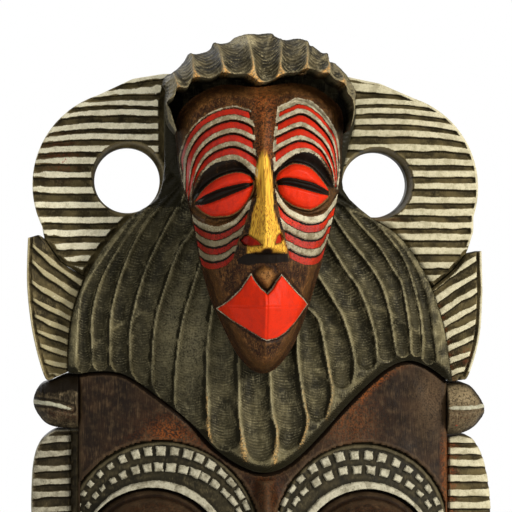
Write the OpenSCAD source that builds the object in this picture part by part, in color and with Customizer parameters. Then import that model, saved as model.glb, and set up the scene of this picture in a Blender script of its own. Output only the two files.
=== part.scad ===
// Carved wall mask: a large closed-eyed face under a fan of gouged hair, with
// a small mask set on the hair, a gouged crown, striped ear loops and leaf fins.
// Units are millimetres. The back of the mask is the plane y = 0, the carving
// comes forward along -y, +z is up, and a depth is a distance from the back.
// The origin lies on the back of the hair block, below the hanger pocket.
// Left and right are as seen from the front. The two sides of a hand-carved
// mask differ a little, so each side has its own outline.

/* [Ear loops and side bands] */
// Thickness of the striped ear loops and side bands
board_depth = 20; // [18:1:22]
// Radius of the round hole through each ear loop
loop_hole_r = 16.5; // [14:0.5:17]
// Radius of the round outer side of each ear loop
loop_r = 47; // [46:0.5:48]

/* [Leaf fins and knobs] */
// Thickness of the leaf fins
fin_depth = 24; // [20:1:28]
// Depth of the knobs at their edge
knob_edge_depth = 22; // [18:1:26]
// How far the knobs bulge in front of their edge
knob_bulge = 10; // [6:1:14]

/* [Hair] */
// Depth of the hair block under the small mask
hair_depth = 46; // [42:1:50]
// Depth of the hair block at its sides
hair_edge_depth = 33; // [30:1:36]

/* [Small mask] */
// Depth of the small mask at its edge
small_edge_depth = 70; // [66:1:74]
// How far its forehead and cheeks stand in front of its edge
small_dome = 13; // [10:1:16]
// How far its nose stands in front of the cheeks
small_nose = 20; // [14:1:22]
// Depth of the crown at the lower tips of its gouges
crown_depth = 89; // [84:1:94]
// Depth of the crown along its top edge
crown_top_depth = 54; // [50:1:60]
// Number of gouge cuts in the crown
crown_scoops = 10; // [8:1:12]

/* [Large face] */
// Depth of the large face at its edge
face_edge_depth = 26; // [25:1:30]
// How far the large nose stands in front of the cheeks
face_nose = 30; // [20:1:34]
// Outer radius of each brow arch
arch_r = 40.5; // [38:0.5:40.5]
// Inner radius of each brow arch, which is the radius of the eye
eye_r = 24.5; // [22:0.5:26]
// How far the closed eyes bulge in front of the face
eye_bulge = 9; // [5:1:11]
// Half width of the hollow at the back
hollow_half_w = 75; // [65:1:76]

/* [Fastenings] */
// Diameter of the wooden dowels
dowel_d = 6; // [5:0.5:6]
// Length of the wooden dowels
dowel_len = 24; // [20:1:24]
// Clearance round a dowel, the screw and the ring's wire
fit_gap = 0.05; // [0.02:0.01:0.1]
// Diameter of the hanging ring's wire
wire_d = 2.5; // [2:0.1:2.6]
// Width of the hanging ring, between the middles of its legs
ring_w = 20; // [18:1:20]
// Height of the ring's hinge above the origin
hinge_z = 64; // [62:1:66]

/* [Hidden] */

$fn = 48;
LEFT = -1;
RIGHT = 1;

olive = [0.26, 0.26, 0.21];
brown = [0.25, 0.16, 0.11];
dark_brown = [0.20, 0.14, 0.10];
silver = [0.72, 0.71, 0.62];
red = [0.80, 0.19, 0.10];
pale_wood = [0.75, 0.58, 0.38];
steel = [0.62, 0.62, 0.63];

// Curves through a few points of the front view, written [x, z] ---------------

function lerp(a, b, t) = a + (b - a) * t;
function ease(t) = t <= 0 ? 0 : t >= 1 ? 1 : t * t * (3 - 2 * t);
function hump(distance, width) = exp(-distance * distance / (width * width));
function reversed(points) = [for (i = [len(points) - 1 : -1 : 0]) points[i]];
function without_last(points) = [for (i = [0 : len(points) - 2]) points[i]];
function spline_point(a, b, c, d, t) =
    0.5 * (2 * b + (c - a) * t + (2 * a - 5 * b + 4 * c - d) * t * t
           + (3 * b - a - 3 * c + d) * t * t * t);
// A smooth open run through the points, and a smooth closed loop
function run(points, steps) = let (last = len(points) - 1) [
    for (i = [0 : last - 1], k = [0 : steps - 1])
        spline_point(points[max(i - 1, 0)], points[i], points[i + 1],
                     points[min(i + 2, last)], k / steps),
    points[last]];
function loop(points, steps) = let (n = len(points)) [
    for (i = [0 : n - 1], k = [0 : steps - 1])
        spline_point(points[(i + n - 1) % n], points[i], points[(i + 1) % n],
                     points[(i + 2) % n], k / steps)];
function arc(centre, r, from, to, steps) = [
    for (k = [0 : steps]) let (a = lerp(from, to, k / steps))
        centre + r * [cos(a), sin(a)]];
// Distance from the middle of a squarish oval to its edge, in direction a
function oval_r(a, half_w, half_h, power) =
    pow(pow(abs(cos(a)) / half_w, power) + pow(abs(sin(a)) / half_h, power), -1 / power);
// A point of the front view, put at a depth
function at_depth(p, depth) = [p[0], -depth, p[1]];

// Outlines where the pieces meet ----------------------------------------------

face_left_x = -91;
face_right_x = 93;
jaw_z = -172;
hair_left_corner = [-96, -35.5];
hair_right_corner = [95, -41];

neck_top = [[45, 100], [41, 111], [28, 119], [-1, 122], [-30, 119], [-44, 111],
            [-48.5, 100]];
hair_left_upper = [[-48.5, 100], [-48.5, 82], [-48.5, 64], [-52, 50.5],
                   [-64, 42], [-78, 27], [-87.5, 11]];
hair_left_lower = [[-87.5, 11], [-93, -4], [-95.5, -20], hair_left_corner];
hairline = [hair_left_corner, [face_left_x, -37], [-78, -38], [-65, -41.5],
            [-50.5, -50], [-36, -61], [-23.5, -74], [-11, -82], [1, -85],
            [13.5, -80], [28, -67], [41, -53], [53, -41.5], [63, -33.5],
            [73, -30], [83, -33], [face_right_x, -40], hair_right_corner];
hair_right_lower = [hair_right_corner, [93, -27], [90.5, -12], [85, 5]];
hair_right_upper = [[85, 5], [78, 19], [67, 33], [53, 42], [40, 55], [41, 72],
                    [45, 88], [45, 100]];
jaw = [[face_left_x, jaw_z], [-86, -197], [-76, -222], [-61, -248],
       [-42, -274], [-22, -294], [1, -303], [24, -294], [44, -274],
       [63, -248], [78, -222], [88, -197], [face_right_x, jaw_z]];
fin_seam_left = [[-87.5, 11], [-100, 19], [-108, 30.5]];
fin_seam_right = [[85, 5], [96, 14], [103.5, 23]];
small_outline = [[37.5, 76], [37, 88], [34, 95], [24, 102.5], [12, 105],
                 [-4, 103], [-21, 104], [-35, 98], [-43, 88], [-43, 76],
                 [-40.5, 58], [-36, 43], [-32, 22], [-27, 3], [-21, -11],
                 [-14.5, -24], [-8, -32], [-1, -35], [6, -32], [13.5, -22],
                 [19, -9], [23, 3], [28, 20], [33, 39], [36.5, 57]];

hair_left_lower_run = run(hair_left_lower, 3);
hair_right_lower_run = run(hair_right_lower, 3);
hairline_run = run(hairline, 2);
// The part of the hairline that the large face meets
face_hairline_run = [for (p = hairline_run)
    if (p[0] >= face_left_x && p[0] <= face_right_x) p];

// Building blocks ----------------------------------------------------------------

// A closed solid through a list of rings that all have the same number of
// points, with a fan of triangles to a centre at each end
module skin(rings, first_centre, last_centre) {
    n = len(rings[0]);
    last = (len(rings) - 1) * n;
    first_tip = last + n;
    last_tip = first_tip + 1;
    points = concat([for (r = rings) each r], [first_centre, last_centre]);
    sides = [for (k = [0 : len(rings) - 2], i = [0 : n - 1])
        let (a = k * n + i, b = k * n + (i + 1) % n)
        each [[a, b, b + n], [a, b + n, a + n]]];
    first_end = [for (i = [0 : n - 1]) [first_tip, (i + 1) % n, i]];
    last_end = [for (i = [0 : n - 1]) [last_tip, last + i, last + (i + 1) % n]];
    polyhedron(points = points, faces = concat(sides, first_end, last_end));
}
// A flat board with this outline, from the back plane forward
module board(outline, depth) {
    rotate([90, 0, 0]) linear_extrude(depth) polygon(outline);
}
// Round rods and holes, given by their middle point
module rod_x(middle, r, length) {
    translate(middle) rotate([0, 90, 0]) cylinder(h = length, r = r, center = true);
}
module rod_y(middle, r, length) {
    translate(middle) rotate([90, 0, 0]) cylinder(h = length, r = r, center = true);
}
module rod_z(middle, r, length) {
    translate(middle) cylinder(h = length, r = r, center = true);
}

// Dowels ---------------------------------------------------------------------------

dowel_r = dowel_d / 2;
bore_r = dowel_r + fit_gap;

// Middles of the dowels that join each kind of piece
fin_dowels = [[-93.5, -12, -4], [-95, -12, -25], [90, -12, -7], [92, -12, -27]];
edge_dowels = [for (x = [face_left_x, face_right_x]) each
    [[x, -12, x < 0 ? -51 : -54], [x, -10, -88], [x, -10, -145]]];
loop_dowel_places = [[-41.5, -18, 98], [-75, -18, 17], [37, -18, 98], [68, -18, 18]];
face_dowel_places = [for (p = [[-2, 77], [-2, 2], [-22, 113], [18, 113]])
    at_depth(p, hair_depth)];
hairline_dowel_places = [[-60, -14, -44.5], [1, -18, -85], [60, -14, -35.5]];

module side_dowels() color(pale_wood)
    for (p = concat(fin_dowels, edge_dowels)) rod_x(p, dowel_r, dowel_len);
module loop_dowels() color(pale_wood)
    for (p = loop_dowel_places) rod_y(p, dowel_r, dowel_len);
module face_dowels() color(pale_wood)
    for (p = face_dowel_places) rod_y(p, dowel_r, dowel_len);
module hairline_dowels() color(pale_wood)
    for (p = hairline_dowel_places) rod_z(p, dowel_r, dowel_len);

module bores_x(places) for (p = places) rod_x(p, bore_r, dowel_len);
module bores_y(places) for (p = places) rod_y(p, bore_r, dowel_len);
module bores_z(places) for (p = places) rod_z(p, bore_r, dowel_len);

function on_side(places, side) = [for (p = places) if (p[0] * side > 0) p];

// Large face -------------------------------------------------------------------------

face_centre = [1, -160];
face_half_w = (face_right_x - face_left_x) / 2;
face_side_heights = [-52, -66, -82, -98, -114, -130, -146, -160];
face_outline = concat(
    reversed(face_hairline_run),
    [for (z = face_side_heights) [face_left_x, z]],
    run(jaw, 2),
    [for (z = reversed(face_side_heights)) [face_right_x, z]]);

// Swell of the face along its middle line, from the hairline to the chin
function face_swell(z) =
    z > -60 ? lerp(8, 5, ease((z + 60) / 30)) :
    z > -120 ? lerp(24, 8, ease((z + 120) / 60)) :
    z > -220 ? lerp(33, 24, ease((z + 220) / 100)) :
    lerp(14, 33, ease((z + 303) / 83));
function face_dome(x, z) = let (u = min(1, abs(x - face_centre[0]) / face_half_w))
    face_edge_depth + face_swell(z) * pow(1 - u * u, 0.8);
// The long nose widens and rises downwards, then drops to the upper lip
nose_top_z = -88;
nose_tip_z = -186;
function nose_rise(x, z) = let (
    t = (nose_top_z - z) / (nose_top_z - nose_tip_z),
    half_w = lerp(6, 20, max(0, min(t, 1))),
    side = ease(1 - abs(x - face_centre[0]) / half_w))
    t < 0 ? 0 : side * (t <= 1 ? lerp(4, face_nose, t)
                               : face_nose * max(0, 1 - (t - 1) * 8));
// The mouth is a low four-sided pyramid
mouth_z = -230;
function mouth_rise(x, z) =
    13 * max(0, 1 - abs(x - face_centre[0]) / 34 - abs(z - mouth_z) / 22);
function face_depth(x, z) = face_dome(x, z) + nose_rise(x, z) + mouth_rise(x, z);

// The hollow at the back is an oval that deepens towards the middle line
hollow_up = 54;
hollow_down = 116;
function hollow_point(p, t) = let (
    v = p - face_centre,
    a = atan2(v[1], v[0]),
    r = oval_r(a, hollow_half_w, v[1] > 0 ? hollow_up : hollow_down, 2.6))
    face_centre + t * r * [cos(a), sin(a)];
function hollow_depth(x) = 12 + 0.25 * (84 - abs(x - face_centre[0]));
hollow_steps = [[1, 0], [0.95, 0.45], [0.85, 0.8], [0.7, 1], [0.4, 1]];

// Floor of the pockets that hold the brow arches and the eyes: it slopes
// back towards the ears, as the face does
function pocket_depth(x) = 28 - 0.27 * (abs(x) - 49);

function eye_centre(side) = side == LEFT ? [-48.5, -113] : [49, -113.5];
arch_from = -8;
arch_to = 188;
arch_steps = 28;
eye_low_r = 20;
function eye_low_edge(side) = [for (a = [200 : 12 : 344])
    eye_centre(side) + [eye_r * cos(a), eye_low_r * sin(a)]];
function eye_outline(side) = concat(
    arc(eye_centre(side), eye_r, arch_from, arch_to, arch_steps), eye_low_edge(side));
function pocket_outline(side) = let (c = eye_centre(side)) concat(
    arc(c, arch_r, arch_from, arch_to, arch_steps),
    [c + eye_r * [cos(arch_to), sin(arch_to)]],
    eye_low_edge(side),
    [c + eye_r * [cos(arch_from), sin(arch_from)]]);

module eye_pocket(side) {
    outline = pocket_outline(side);
    c = eye_centre(side);
    clear_front = 80;
    skin([[for (p = outline) at_depth(p, clear_front)],
          [for (p = outline) at_depth(p, pocket_depth(p[0]))]],
         at_depth(c, clear_front), at_depth(c, pocket_depth(c[0])));
}

module main_face() color(brown) difference() {
    skin(concat(
            [for (t = [0.06, 0.13, 0.2, 0.28, 0.36, 0.44, 0.53, 0.62, 0.71, 0.8, 0.88, 0.94, 1])
                [for (p = face_outline) let (q = lerp(face_centre, p, t))
                    at_depth(q, face_depth(q[0], q[1]))]],
            [[for (p = face_outline) at_depth(p, 0)]],
            [for (step = hollow_steps)
                [for (p = face_outline) let (q = hollow_point(p, step[0]))
                    at_depth(q, hollow_depth(q[0]) * step[1])]]),
         at_depth(face_centre, face_depth(face_centre[0], face_centre[1])),
         at_depth(face_centre, hollow_depth(face_centre[0])));
    eye_pocket(LEFT);
    eye_pocket(RIGHT);
    bores_x(edge_dowels);
    bores_z(hairline_dowel_places);
}

// Brow arches and closed eyes, set into their pockets ------------------------------------

// Section of an arch, from its inner edge outwards, as a share of its width
// and a height on the face: a raised rim, a dip, the squared band, a groove
arch_section = [[0, 0.8], [0.22, 0.8], [0.26, -0.8], [0.5, -0.4], [0.85, -0.4], [1, -1.4]];

module brow_arch(side) {
    c = eye_centre(side);
    rings = [for (k = [0 : arch_steps])
        let (a = lerp(arch_to, arch_from, k / arch_steps), dir = [cos(a), sin(a)])
        concat(
            [for (s = arch_section) let (p = c + lerp(eye_r, arch_r, s[0]) * dir)
                at_depth(p, face_dome(p[0], p[1]) + s[1])],
            [for (r = [arch_r, eye_r]) let (p = c + r * dir)
                at_depth(p, pocket_depth(p[0]))])];
    inner_top = 1;
    outer_floor = 6;
    first = rings[0];
    last = rings[arch_steps];
    skin(rings, (first[inner_top] + first[outer_floor]) / 2,
         (last[inner_top] + last[outer_floor]) / 2);
}
module brow_arch_left() color(silver) brow_arch(LEFT);
module brow_arch_right() color(silver) brow_arch(RIGHT);

module eye(side) {
    c = eye_centre(side);
    outline = eye_outline(side);
    edge_drop = -3.5;
    function lid_depth(q, t) = face_dome(q[0], q[1]) + lerp(eye_bulge, edge_drop, pow(t, 3));
    skin(concat(
            [for (t = [0.2, 0.4, 0.6, 0.8, 0.92, 1])
                [for (p = outline) let (q = lerp(c, p, t)) at_depth(q, lid_depth(q, t))]],
            [[for (p = outline) at_depth(p, pocket_depth(p[0]))]]),
         at_depth(c, lid_depth(c, 0)), at_depth(c, pocket_depth(c[0])));
}
module eye_left() color(dark_brown) eye(LEFT);
module eye_right() color(dark_brown) eye(RIGHT);

// Hair block ---------------------------------------------------------------------------------

hair_centre = [-1, 14];
hair_outline = concat(
    without_last(run(neck_top, 2)),
    without_last(run(hair_left_upper, 3)),
    without_last(hair_left_lower_run),
    without_last(hairline_run),
    without_last(hair_right_lower_run),
    without_last(run(hair_right_upper, 3)));

// The block is flat under the small mask and the crown, and falls off
// towards the ears
function hair_rim_depth(p) = lerp(
    lerp(hair_depth - 1, hair_edge_depth, ease(abs(p[0]) / 60)),
    hair_depth, ease((p[1] - 50) / 30));
function hair_depth_at(p, t) = lerp(hair_depth, hair_rim_depth(p), ease((t - 0.4) / 0.6));

// Pocket in the back for the strap and ring that the mask hangs by
pocket_w = 32;
pocket_h = 44;
pocket_floor = 7;

module coiffure() color(olive) difference() {
    skin(concat(
            [for (t = [0.25, 0.5, 0.65, 0.78, 0.9, 1])
                [for (p = hair_outline)
                    at_depth(lerp(hair_centre, p, t), hair_depth_at(p, t))]],
            [[for (p = hair_outline) at_depth(p, 0)]]),
         at_depth(hair_centre, hair_depth), at_depth(hair_centre, 0));
    for (side = [LEFT, RIGHT])
        translate([0, 1, 0]) board(loop_outline(side), board_depth + 1);
    translate([-pocket_w / 2, -pocket_floor, hinge_z - pocket_h / 2])
        cube([pocket_w, pocket_floor + 1, pocket_h]);
    rod_y([0, screw_seat_y, screw_z], screw_r + fit_gap, 2 * screw_len);
    bores_x(fin_dowels);
    bores_y(concat(loop_dowel_places, face_dowel_places));
    bores_z(hairline_dowel_places);
}

// Ear loops, whose inner edges are let into the back of the hair block ---------------------------

function loop_middle(side) = side == LEFT ? [-67, 57.5] : [62.5, 56.5];
function hole_middle(side) = side == LEFT ? [-67, 60] : [58, 58];
function loop_outline(side) = side == LEFT ? concat(
        [[-34, 113], [-49, 113], [-64, 110.5]],
        arc(loop_middle(side), loop_r, 108, 206, 14),
        reversed(fin_seam_left),
        [[-78, 3], [-66, 17], [-50, 34], [-36, 52]])
    : concat(
        [[30, 52], [44, 36], [58, 22], [74, 2]],
        fin_seam_right,
        [[107, 34]],
        arc(loop_middle(side), loop_r, -18, 72, 14),
        [[60, 108.5], [43, 112], [29, 112]]);

module ear_loop(side) {
    c = hole_middle(side);
    difference() {
        board(loop_outline(side), board_depth);
        rod_y([c[0], 0, c[1]], loop_hole_r, 2 * board_depth + 2);
        bores_y(on_side(loop_dowel_places, side));
    }
}
module ear_loop_left() color(silver) ear_loop(LEFT);
module ear_loop_right() color(silver) ear_loop(RIGHT);

// Leaf fins -----------------------------------------------------------------------------------------

fin_left_outline = concat(
    reversed(fin_seam_left),
    hair_left_lower_run,
    run([[-104, -39], [-107.5, -38.5], [-112, -24], [-115, -8], [-116.5, 10], [-116, 31]], 3),
    [[-111, 32.5]]);
fin_right_outline = concat(
    hair_right_lower_run,
    fin_seam_right,
    [[110.5, 24.5]],
    run([[111, 4], [110, -14], [107.5, -27], [103.5, -38.5], [101, -40]], 3));

module leaf_fin_left() color(silver) difference() {
    board(fin_left_outline, fin_depth);
    bores_x(on_side(fin_dowels, LEFT));
}
module leaf_fin_right() color(silver) difference() {
    board(fin_right_outline, fin_depth);
    bores_x(on_side(fin_dowels, RIGHT));
}

// Knobs and side bands, dowelled to the edges of the large face --------------------------------------

knob_left_outline = run([[face_left_x, -39], [-104, -39.5], [-110.5, -42.5], [-113.4, -50.5],
                         [-110, -58], [-104, -62.5], [face_left_x, -64]], 3);
knob_right_outline = reversed(run([[face_right_x, -42], [100, -41.5], [106, -44], [112.3, -54.5],
                                   [107.5, -63], [100, -67], [face_right_x, -67.5]], 3));
module ear_knob(outline, middle) {
    skin(concat(
            [for (t = [0.35, 0.6, 0.8, 0.93, 1])
                [for (p = outline)
                    at_depth(lerp(middle, p, t), knob_edge_depth + knob_bulge * (1 - pow(t, 3)))]],
            [[for (p = outline) at_depth(p, 0)]]),
         at_depth(middle, knob_edge_depth + knob_bulge), at_depth(middle, 0));
}
module ear_knob_left() color(brown) difference() {
    ear_knob(knob_left_outline, [-100, -51]);
    bores_x(on_side(edge_dowels, LEFT));
}
module ear_knob_right() color(brown) difference() {
    ear_knob(knob_right_outline, [101, -54.5]);
    bores_x(on_side(edge_dowels, RIGHT));
}

band_left_outline = run([[face_left_x, -66], [-104, -65], [-110.5, -71], [-113.5, -80],
                         [-114.5, -93], [-114.5, -108], [-112.5, -128], [-108, -147],
                         [-101, -163], [face_left_x, -176]], 3);
band_right_outline = run([[face_right_x, -69.5], [104, -68.5], [109, -73], [112.5, -81],
                          [115, -93], [116, -108], [114.5, -128], [110.5, -147],
                          [103.5, -163], [face_right_x, -176]], 3);
module side_band_left() color(silver) difference() {
    board(band_left_outline, board_depth);
    bores_x(on_side(edge_dowels, LEFT));
}
module side_band_right() color(silver) difference() {
    board(band_right_outline, board_depth);
    bores_x(on_side(edge_dowels, RIGHT));
}

// Small mask and its crown, seated on the front of the hair block ---------------------------------------

small_centre = [-2.5, 45];
small_axis_x = -2.5;
small_rim = loop(small_outline, 2);

function small_nose_rise(x, z) = let (
    t = (80 - z) / 55,
    half_w = lerp(4, 9, max(0, min(t, 1))),
    side = ease(1 - abs(x - small_axis_x) / half_w))
    t < 0 ? 0 : side * (t <= 1 ? lerp(2, small_nose, t)
                               : small_nose * max(0, 1 - (t - 1) * 12));
function small_eye_rise(x, z) =
    4 * hump(abs(x - small_axis_x) - 18, 11) * hump(z - 52, 6);
function small_lip_rise(x, z) =
    9 * max(0, 1 - abs(x + 1) / 23 - abs(z + 2) / 15);
function small_depth(p, t) = small_edge_depth + small_dome * (1 - pow(t, 3))
    + small_nose_rise(p[0], p[1]) + small_eye_rise(p[0], p[1]) + small_lip_rise(p[0], p[1]);

module small_face() color(red) difference() {
    skin(concat(
            [for (t = [0.1, 0.2, 0.3, 0.42, 0.55, 0.68, 0.8, 0.9, 0.96, 1])
                [for (p = small_rim) let (q = lerp(small_centre, p, t))
                    at_depth(q, small_depth(q, t))]],
            [[for (p = small_rim) at_depth(p, hair_depth)]]),
         at_depth(small_centre, small_depth(small_centre, 0)),
         at_depth(small_centre, hair_depth));
    bores_y([for (p = face_dowel_places) if (p[2] < 100) p]);
}

crown_middle = [-2.5, 85];
crown_from = 5;
crown_to = 175;
crown_steps = 4 * crown_scoops;
crown_inner = [42, 22.5];
crown_outer = [46, 45.5];
scoop_cut = 3.5;
// Section of the crown from the inner edge outwards, as a share of its width
// and a share of the way from the top edge's depth to the lower tips' depth
crown_section = [[0, 0.3], [0.12, 0.34], [0.18, 0.86], [0.32, 1], [0.55, 0.86],
                 [0.76, 0.58], [0.9, 0.28], [1, 0]];

module crown_cap() color(olive) difference() {
    rings = [for (k = [0 : crown_steps]) let (
        a = lerp(crown_to, crown_from, k / crown_steps),
        dir = [cos(a), sin(a)],
        inner = crown_middle + oval_r(a, crown_inner[0], crown_inner[1], 3) * dir,
        outer = crown_middle + oval_r(a, crown_outer[0], crown_outer[1], 2.5) * dir,
        scoop = scoop_cut * abs(sin(180 * crown_scoops * k / crown_steps)))
        concat(
            [at_depth(inner, hair_depth)],
            [for (s = crown_section)
                at_depth(lerp(inner, outer, s[0]),
                         lerp(crown_top_depth, crown_depth, s[1]) - (s[0] > 0.15 ? scoop : 0))],
            [at_depth(outer, hair_depth)])];
    first = rings[0];
    last = rings[crown_steps];
    core = 3;
    floor_end = len(first) - 1;
    skin(rings, (first[core] + first[0] + first[floor_end]) / 3,
         (last[core] + last[0] + last[floor_end]) / 3);
    bores_y([for (p = face_dowel_places) if (p[2] > 100) p]);
}

// Hanger: a steel strap, folded round the ring's wire and held by a screw -----------------------------

wire_r = wire_d / 2;
wire_bore_r = wire_r + fit_gap;
plate_t = 1.2;
fold_r = wire_bore_r + 1.1;
strap_w = 12;
screw_drop = 8;
screw_z = hinge_z - screw_drop;
screw_r = 1.7;
screw_len = 16;
screw_head_r = 3.4;
screw_head_h = 1.8;
screw_hole_r = 2;
screw_seat_y = plate_t - pocket_floor;
hinge_y = fold_r - pocket_floor;
leg_len = 6;

module hanger_strap() color(steel) difference() {
    union() {
        translate([0, screw_seat_y, screw_z + 1]) rotate([90, 0, 0])
            cylinder(h = plate_t, r = strap_w / 2);
        translate([-strap_w / 2, -pocket_floor, screw_z + 1])
            cube([strap_w, plate_t, screw_drop - 1]);
        rod_x([0, hinge_y, hinge_z], fold_r, strap_w);
    }
    rod_x([0, hinge_y, hinge_z], wire_bore_r, strap_w + 2);
    rod_y([0, -pocket_floor, screw_z], screw_hole_r, 4 * plate_t);
}

module hanger_ring() color(steel) translate([0, hinge_y, hinge_z]) {
    rod_x([0, 0, 0], wire_r, ring_w);
    for (x = [-ring_w / 2, ring_w / 2]) {
        translate([x, 0, 0]) sphere(r = wire_r);
        rod_z([x, 0, -leg_len / 2], wire_r, leg_len);
    }
    translate([0, 0, -leg_len]) rotate([90, 0, 0])
        rotate_extrude(angle = -180) translate([ring_w / 2, 0]) circle(r = wire_r);
}

module hanger_screw() color(steel) translate([0, screw_seat_y, screw_z]) rotate([90, 0, 0]) {
    cylinder(h = screw_len, r = screw_r);
    difference() {
        translate([0, 0, -screw_head_h]) cylinder(h = screw_head_h, r = screw_head_r);
        for (turn = [0, 90]) rotate(turn)
            translate([-2, -0.4, -screw_head_h - 0.1]) cube([4, 0.8, 1]);
    }
}

main_face();
coiffure();
small_face();
crown_cap();
ear_loop_left();
ear_loop_right();
leaf_fin_left();
leaf_fin_right();
ear_knob_left();
ear_knob_right();
side_band_left();
side_band_right();
brow_arch_left();
brow_arch_right();
eye_left();
eye_right();
side_dowels();
loop_dowels();
face_dowels();
hairline_dowels();
hanger_strap();
hanger_ring();
hanger_screw();
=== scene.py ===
"""Looks of the carved wooden wall mask: every carved piece is a relief cut over its front outline.

All plan shapes are in millimetres in the front view, written [x, z]; a depth is the distance in
front of the back plane. Points become metres only when a mesh is made.
"""
import math
from functools import reduce

import bpy
import numpy as np
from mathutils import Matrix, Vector
from mathutils.geometry import delaunay_2d_cdt


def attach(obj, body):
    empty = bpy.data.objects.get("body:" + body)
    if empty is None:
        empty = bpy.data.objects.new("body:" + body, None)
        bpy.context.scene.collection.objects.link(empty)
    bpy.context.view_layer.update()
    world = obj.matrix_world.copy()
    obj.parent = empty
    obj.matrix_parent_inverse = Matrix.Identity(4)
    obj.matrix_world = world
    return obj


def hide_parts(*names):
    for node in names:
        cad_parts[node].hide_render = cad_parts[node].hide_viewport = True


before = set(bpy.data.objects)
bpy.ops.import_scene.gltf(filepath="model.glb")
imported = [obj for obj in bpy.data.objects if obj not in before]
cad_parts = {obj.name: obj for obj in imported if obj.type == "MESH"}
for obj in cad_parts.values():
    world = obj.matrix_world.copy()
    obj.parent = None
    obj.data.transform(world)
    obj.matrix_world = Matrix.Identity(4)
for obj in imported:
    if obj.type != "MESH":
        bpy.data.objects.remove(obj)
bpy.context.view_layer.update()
METRE = 1000.0

# ---------------------------------------------------------------------------------------------
# Numbers and curves


def lerp(a, b, t):
    return a + (b - a) * t


def ease(t):
    t = np.clip(t, 0.0, 1.0)
    return t * t * (3.0 - 2.0 * t)


def hump(distance, width):
    return np.exp(-(distance / width) ** 2)


def least(*values):
    return reduce(np.minimum, values)


def most(*values):
    return reduce(np.maximum, values)


def run(points, steps=4, closed=False):
    """A smooth curve through the points."""
    p = np.array(points, float)
    if closed:
        a, b, c, d = np.roll(p, 1, 0), p, np.roll(p, -1, 0), np.roll(p, -2, 0)
    else:
        a, b = np.vstack([p[:1], p[:-2]]), p[:-1]
        c, d = p[1:], np.vstack([p[2:], p[-1:]])
    curve = []
    for i in range(len(b)):
        for k in range(steps):
            t = k / steps
            curve.append(0.5 * (2 * b[i] + (c[i] - a[i]) * t
                                + (2 * a[i] - 5 * b[i] + 4 * c[i] - d[i]) * t ** 2
                                + (3 * b[i] - a[i] - 3 * c[i] + d[i]) * t ** 3))
    if not closed:
        curve.append(p[-1])
    return [tuple(q) for q in curve]


def arc(centre, radius, start, end, steps):
    angles = [math.radians(lerp(start, end, k / steps)) for k in range(steps + 1)]
    return [(centre[0] + radius * math.cos(a), centre[1] + radius * math.sin(a)) for a in angles]


def distance(x, z, line):
    """Distance to an open line of points."""
    nearest = np.full(np.shape(x), 1e12)
    for (ax, az), (bx, bz) in zip(line[:-1], line[1:]):
        dx, dz = bx - ax, bz - az
        size = dx * dx + dz * dz
        if size > 0:
            t = np.clip(((x - ax) * dx + (z - az) * dz) / size, 0.0, 1.0)
            nearest = np.minimum(nearest, (x - ax - t * dx) ** 2 + (z - az - t * dz) ** 2)
    return np.sqrt(nearest)


def within(x, z, outline):
    """Distance to a closed outline, positive inside it."""
    closed = list(outline) + [outline[0]]
    inside = np.zeros(np.shape(x), bool)
    for (ax, az), (bx, bz) in zip(closed[:-1], closed[1:]):
        if az != bz:
            crosses = (az > z) != (bz > z)
            inside ^= crosses & (x < ax + (z - az) * (bx - ax) / (bz - az))
    far = distance(x, z, closed)
    return np.where(inside, far, -far)


def in_circle(x, z, centre, radius):
    return radius - np.hypot(x - centre[0], z - centre[1])


def across_line(x, z, line):
    """Distance from a line that runs up or down the front view, positive on its right."""
    line = np.array(run(line))
    line = line[np.argsort(line[:, 1])]
    return x - np.interp(z, line[:, 1], line[:, 0])


def above_line(x, z, line):
    """Distance from a line that runs across the front view, positive above it."""
    line = np.array(run(line))
    line = line[np.argsort(line[:, 0])]
    return z - np.interp(x, line[:, 0], line[:, 1])


def between(x, z, top, bottom):
    """Distance inside the shape between two lines that share their ends."""
    return within(x, z, run(top) + run(bottom)[::-1])


def hashed(i, j, seed):
    """A fixed pseudo-random number from 0 to 1 for each pair of whole numbers."""
    h = (np.asarray(i, np.int64) * 374761393 + np.asarray(j, np.int64) * 668265263
         + seed * 974634777) & 0xFFFFFFFF
    h = ((h ^ (h >> 13)) * 1274126177) & 0xFFFFFFFF
    return ((h ^ (h >> 16)) & 0xFFFFFF) / float(0xFFFFFF)


def waver(x, z, size, seed=0):
    """Smooth noise from -1 to 1, with lumps of this size."""
    u, v = x / size, z / size
    i, j = np.floor(u), np.floor(v)
    fu, fv = ease(u - i), ease(v - j)
    low = lerp(hashed(i, j, seed), hashed(i + 1, j, seed), fu)
    high = lerp(hashed(i, j + 1, seed), hashed(i + 1, j + 1, seed), fu)
    return lerp(low, high, fv) * 2.0 - 1.0


def blurred(grid, cells):
    """The grid smoothed over a few cells each way."""
    wide = 2 * cells + 1
    for axis in (0, 1, 0, 1):
        pad = [(0, 0), (0, 0)]
        pad[axis] = (cells + 1, cells)
        total = np.cumsum(np.pad(grid, pad, mode="edge"), axis)
        if axis == 0:
            grid = (total[wide:] - total[:-wide]) / wide
        else:
            grid = (total[:, wide:] - total[:, :-wide]) / wide
    return grid


# ---------------------------------------------------------------------------------------------
# Making a carved piece

# What a piece says about each of its points. A paint is the distance inside its area; dark is dark paint
# and also painted shade in grooves, hollows and under things. The washes warm, pale and faded go
# from 0 to 1, and pale also lays painted highlights and painted light in places; along is the height
# that the gouge's ripples follow. crest is how far the point stands out from what is around it, and
# bare is 1 on the raw back.
PAINTS = ("silver", "red", "gold", "dark")
WASHES = ("warm", "pale", "faded", "along")
FIELDS = PAINTS + WASHES + ("crest", "bare")
UNPAINTED = -9.0
SIDE_STAIN = 0.06

# crest compares a point with what is this near; the sides have rows this high; grid points move
# onto the rim within this share of a step; and slopes are measured over a tiny distance
CREST_REACH = 0.9
SIDE_ROW = 2.5
RIM_SNAP = 0.42
TINY = 0.02


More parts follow.
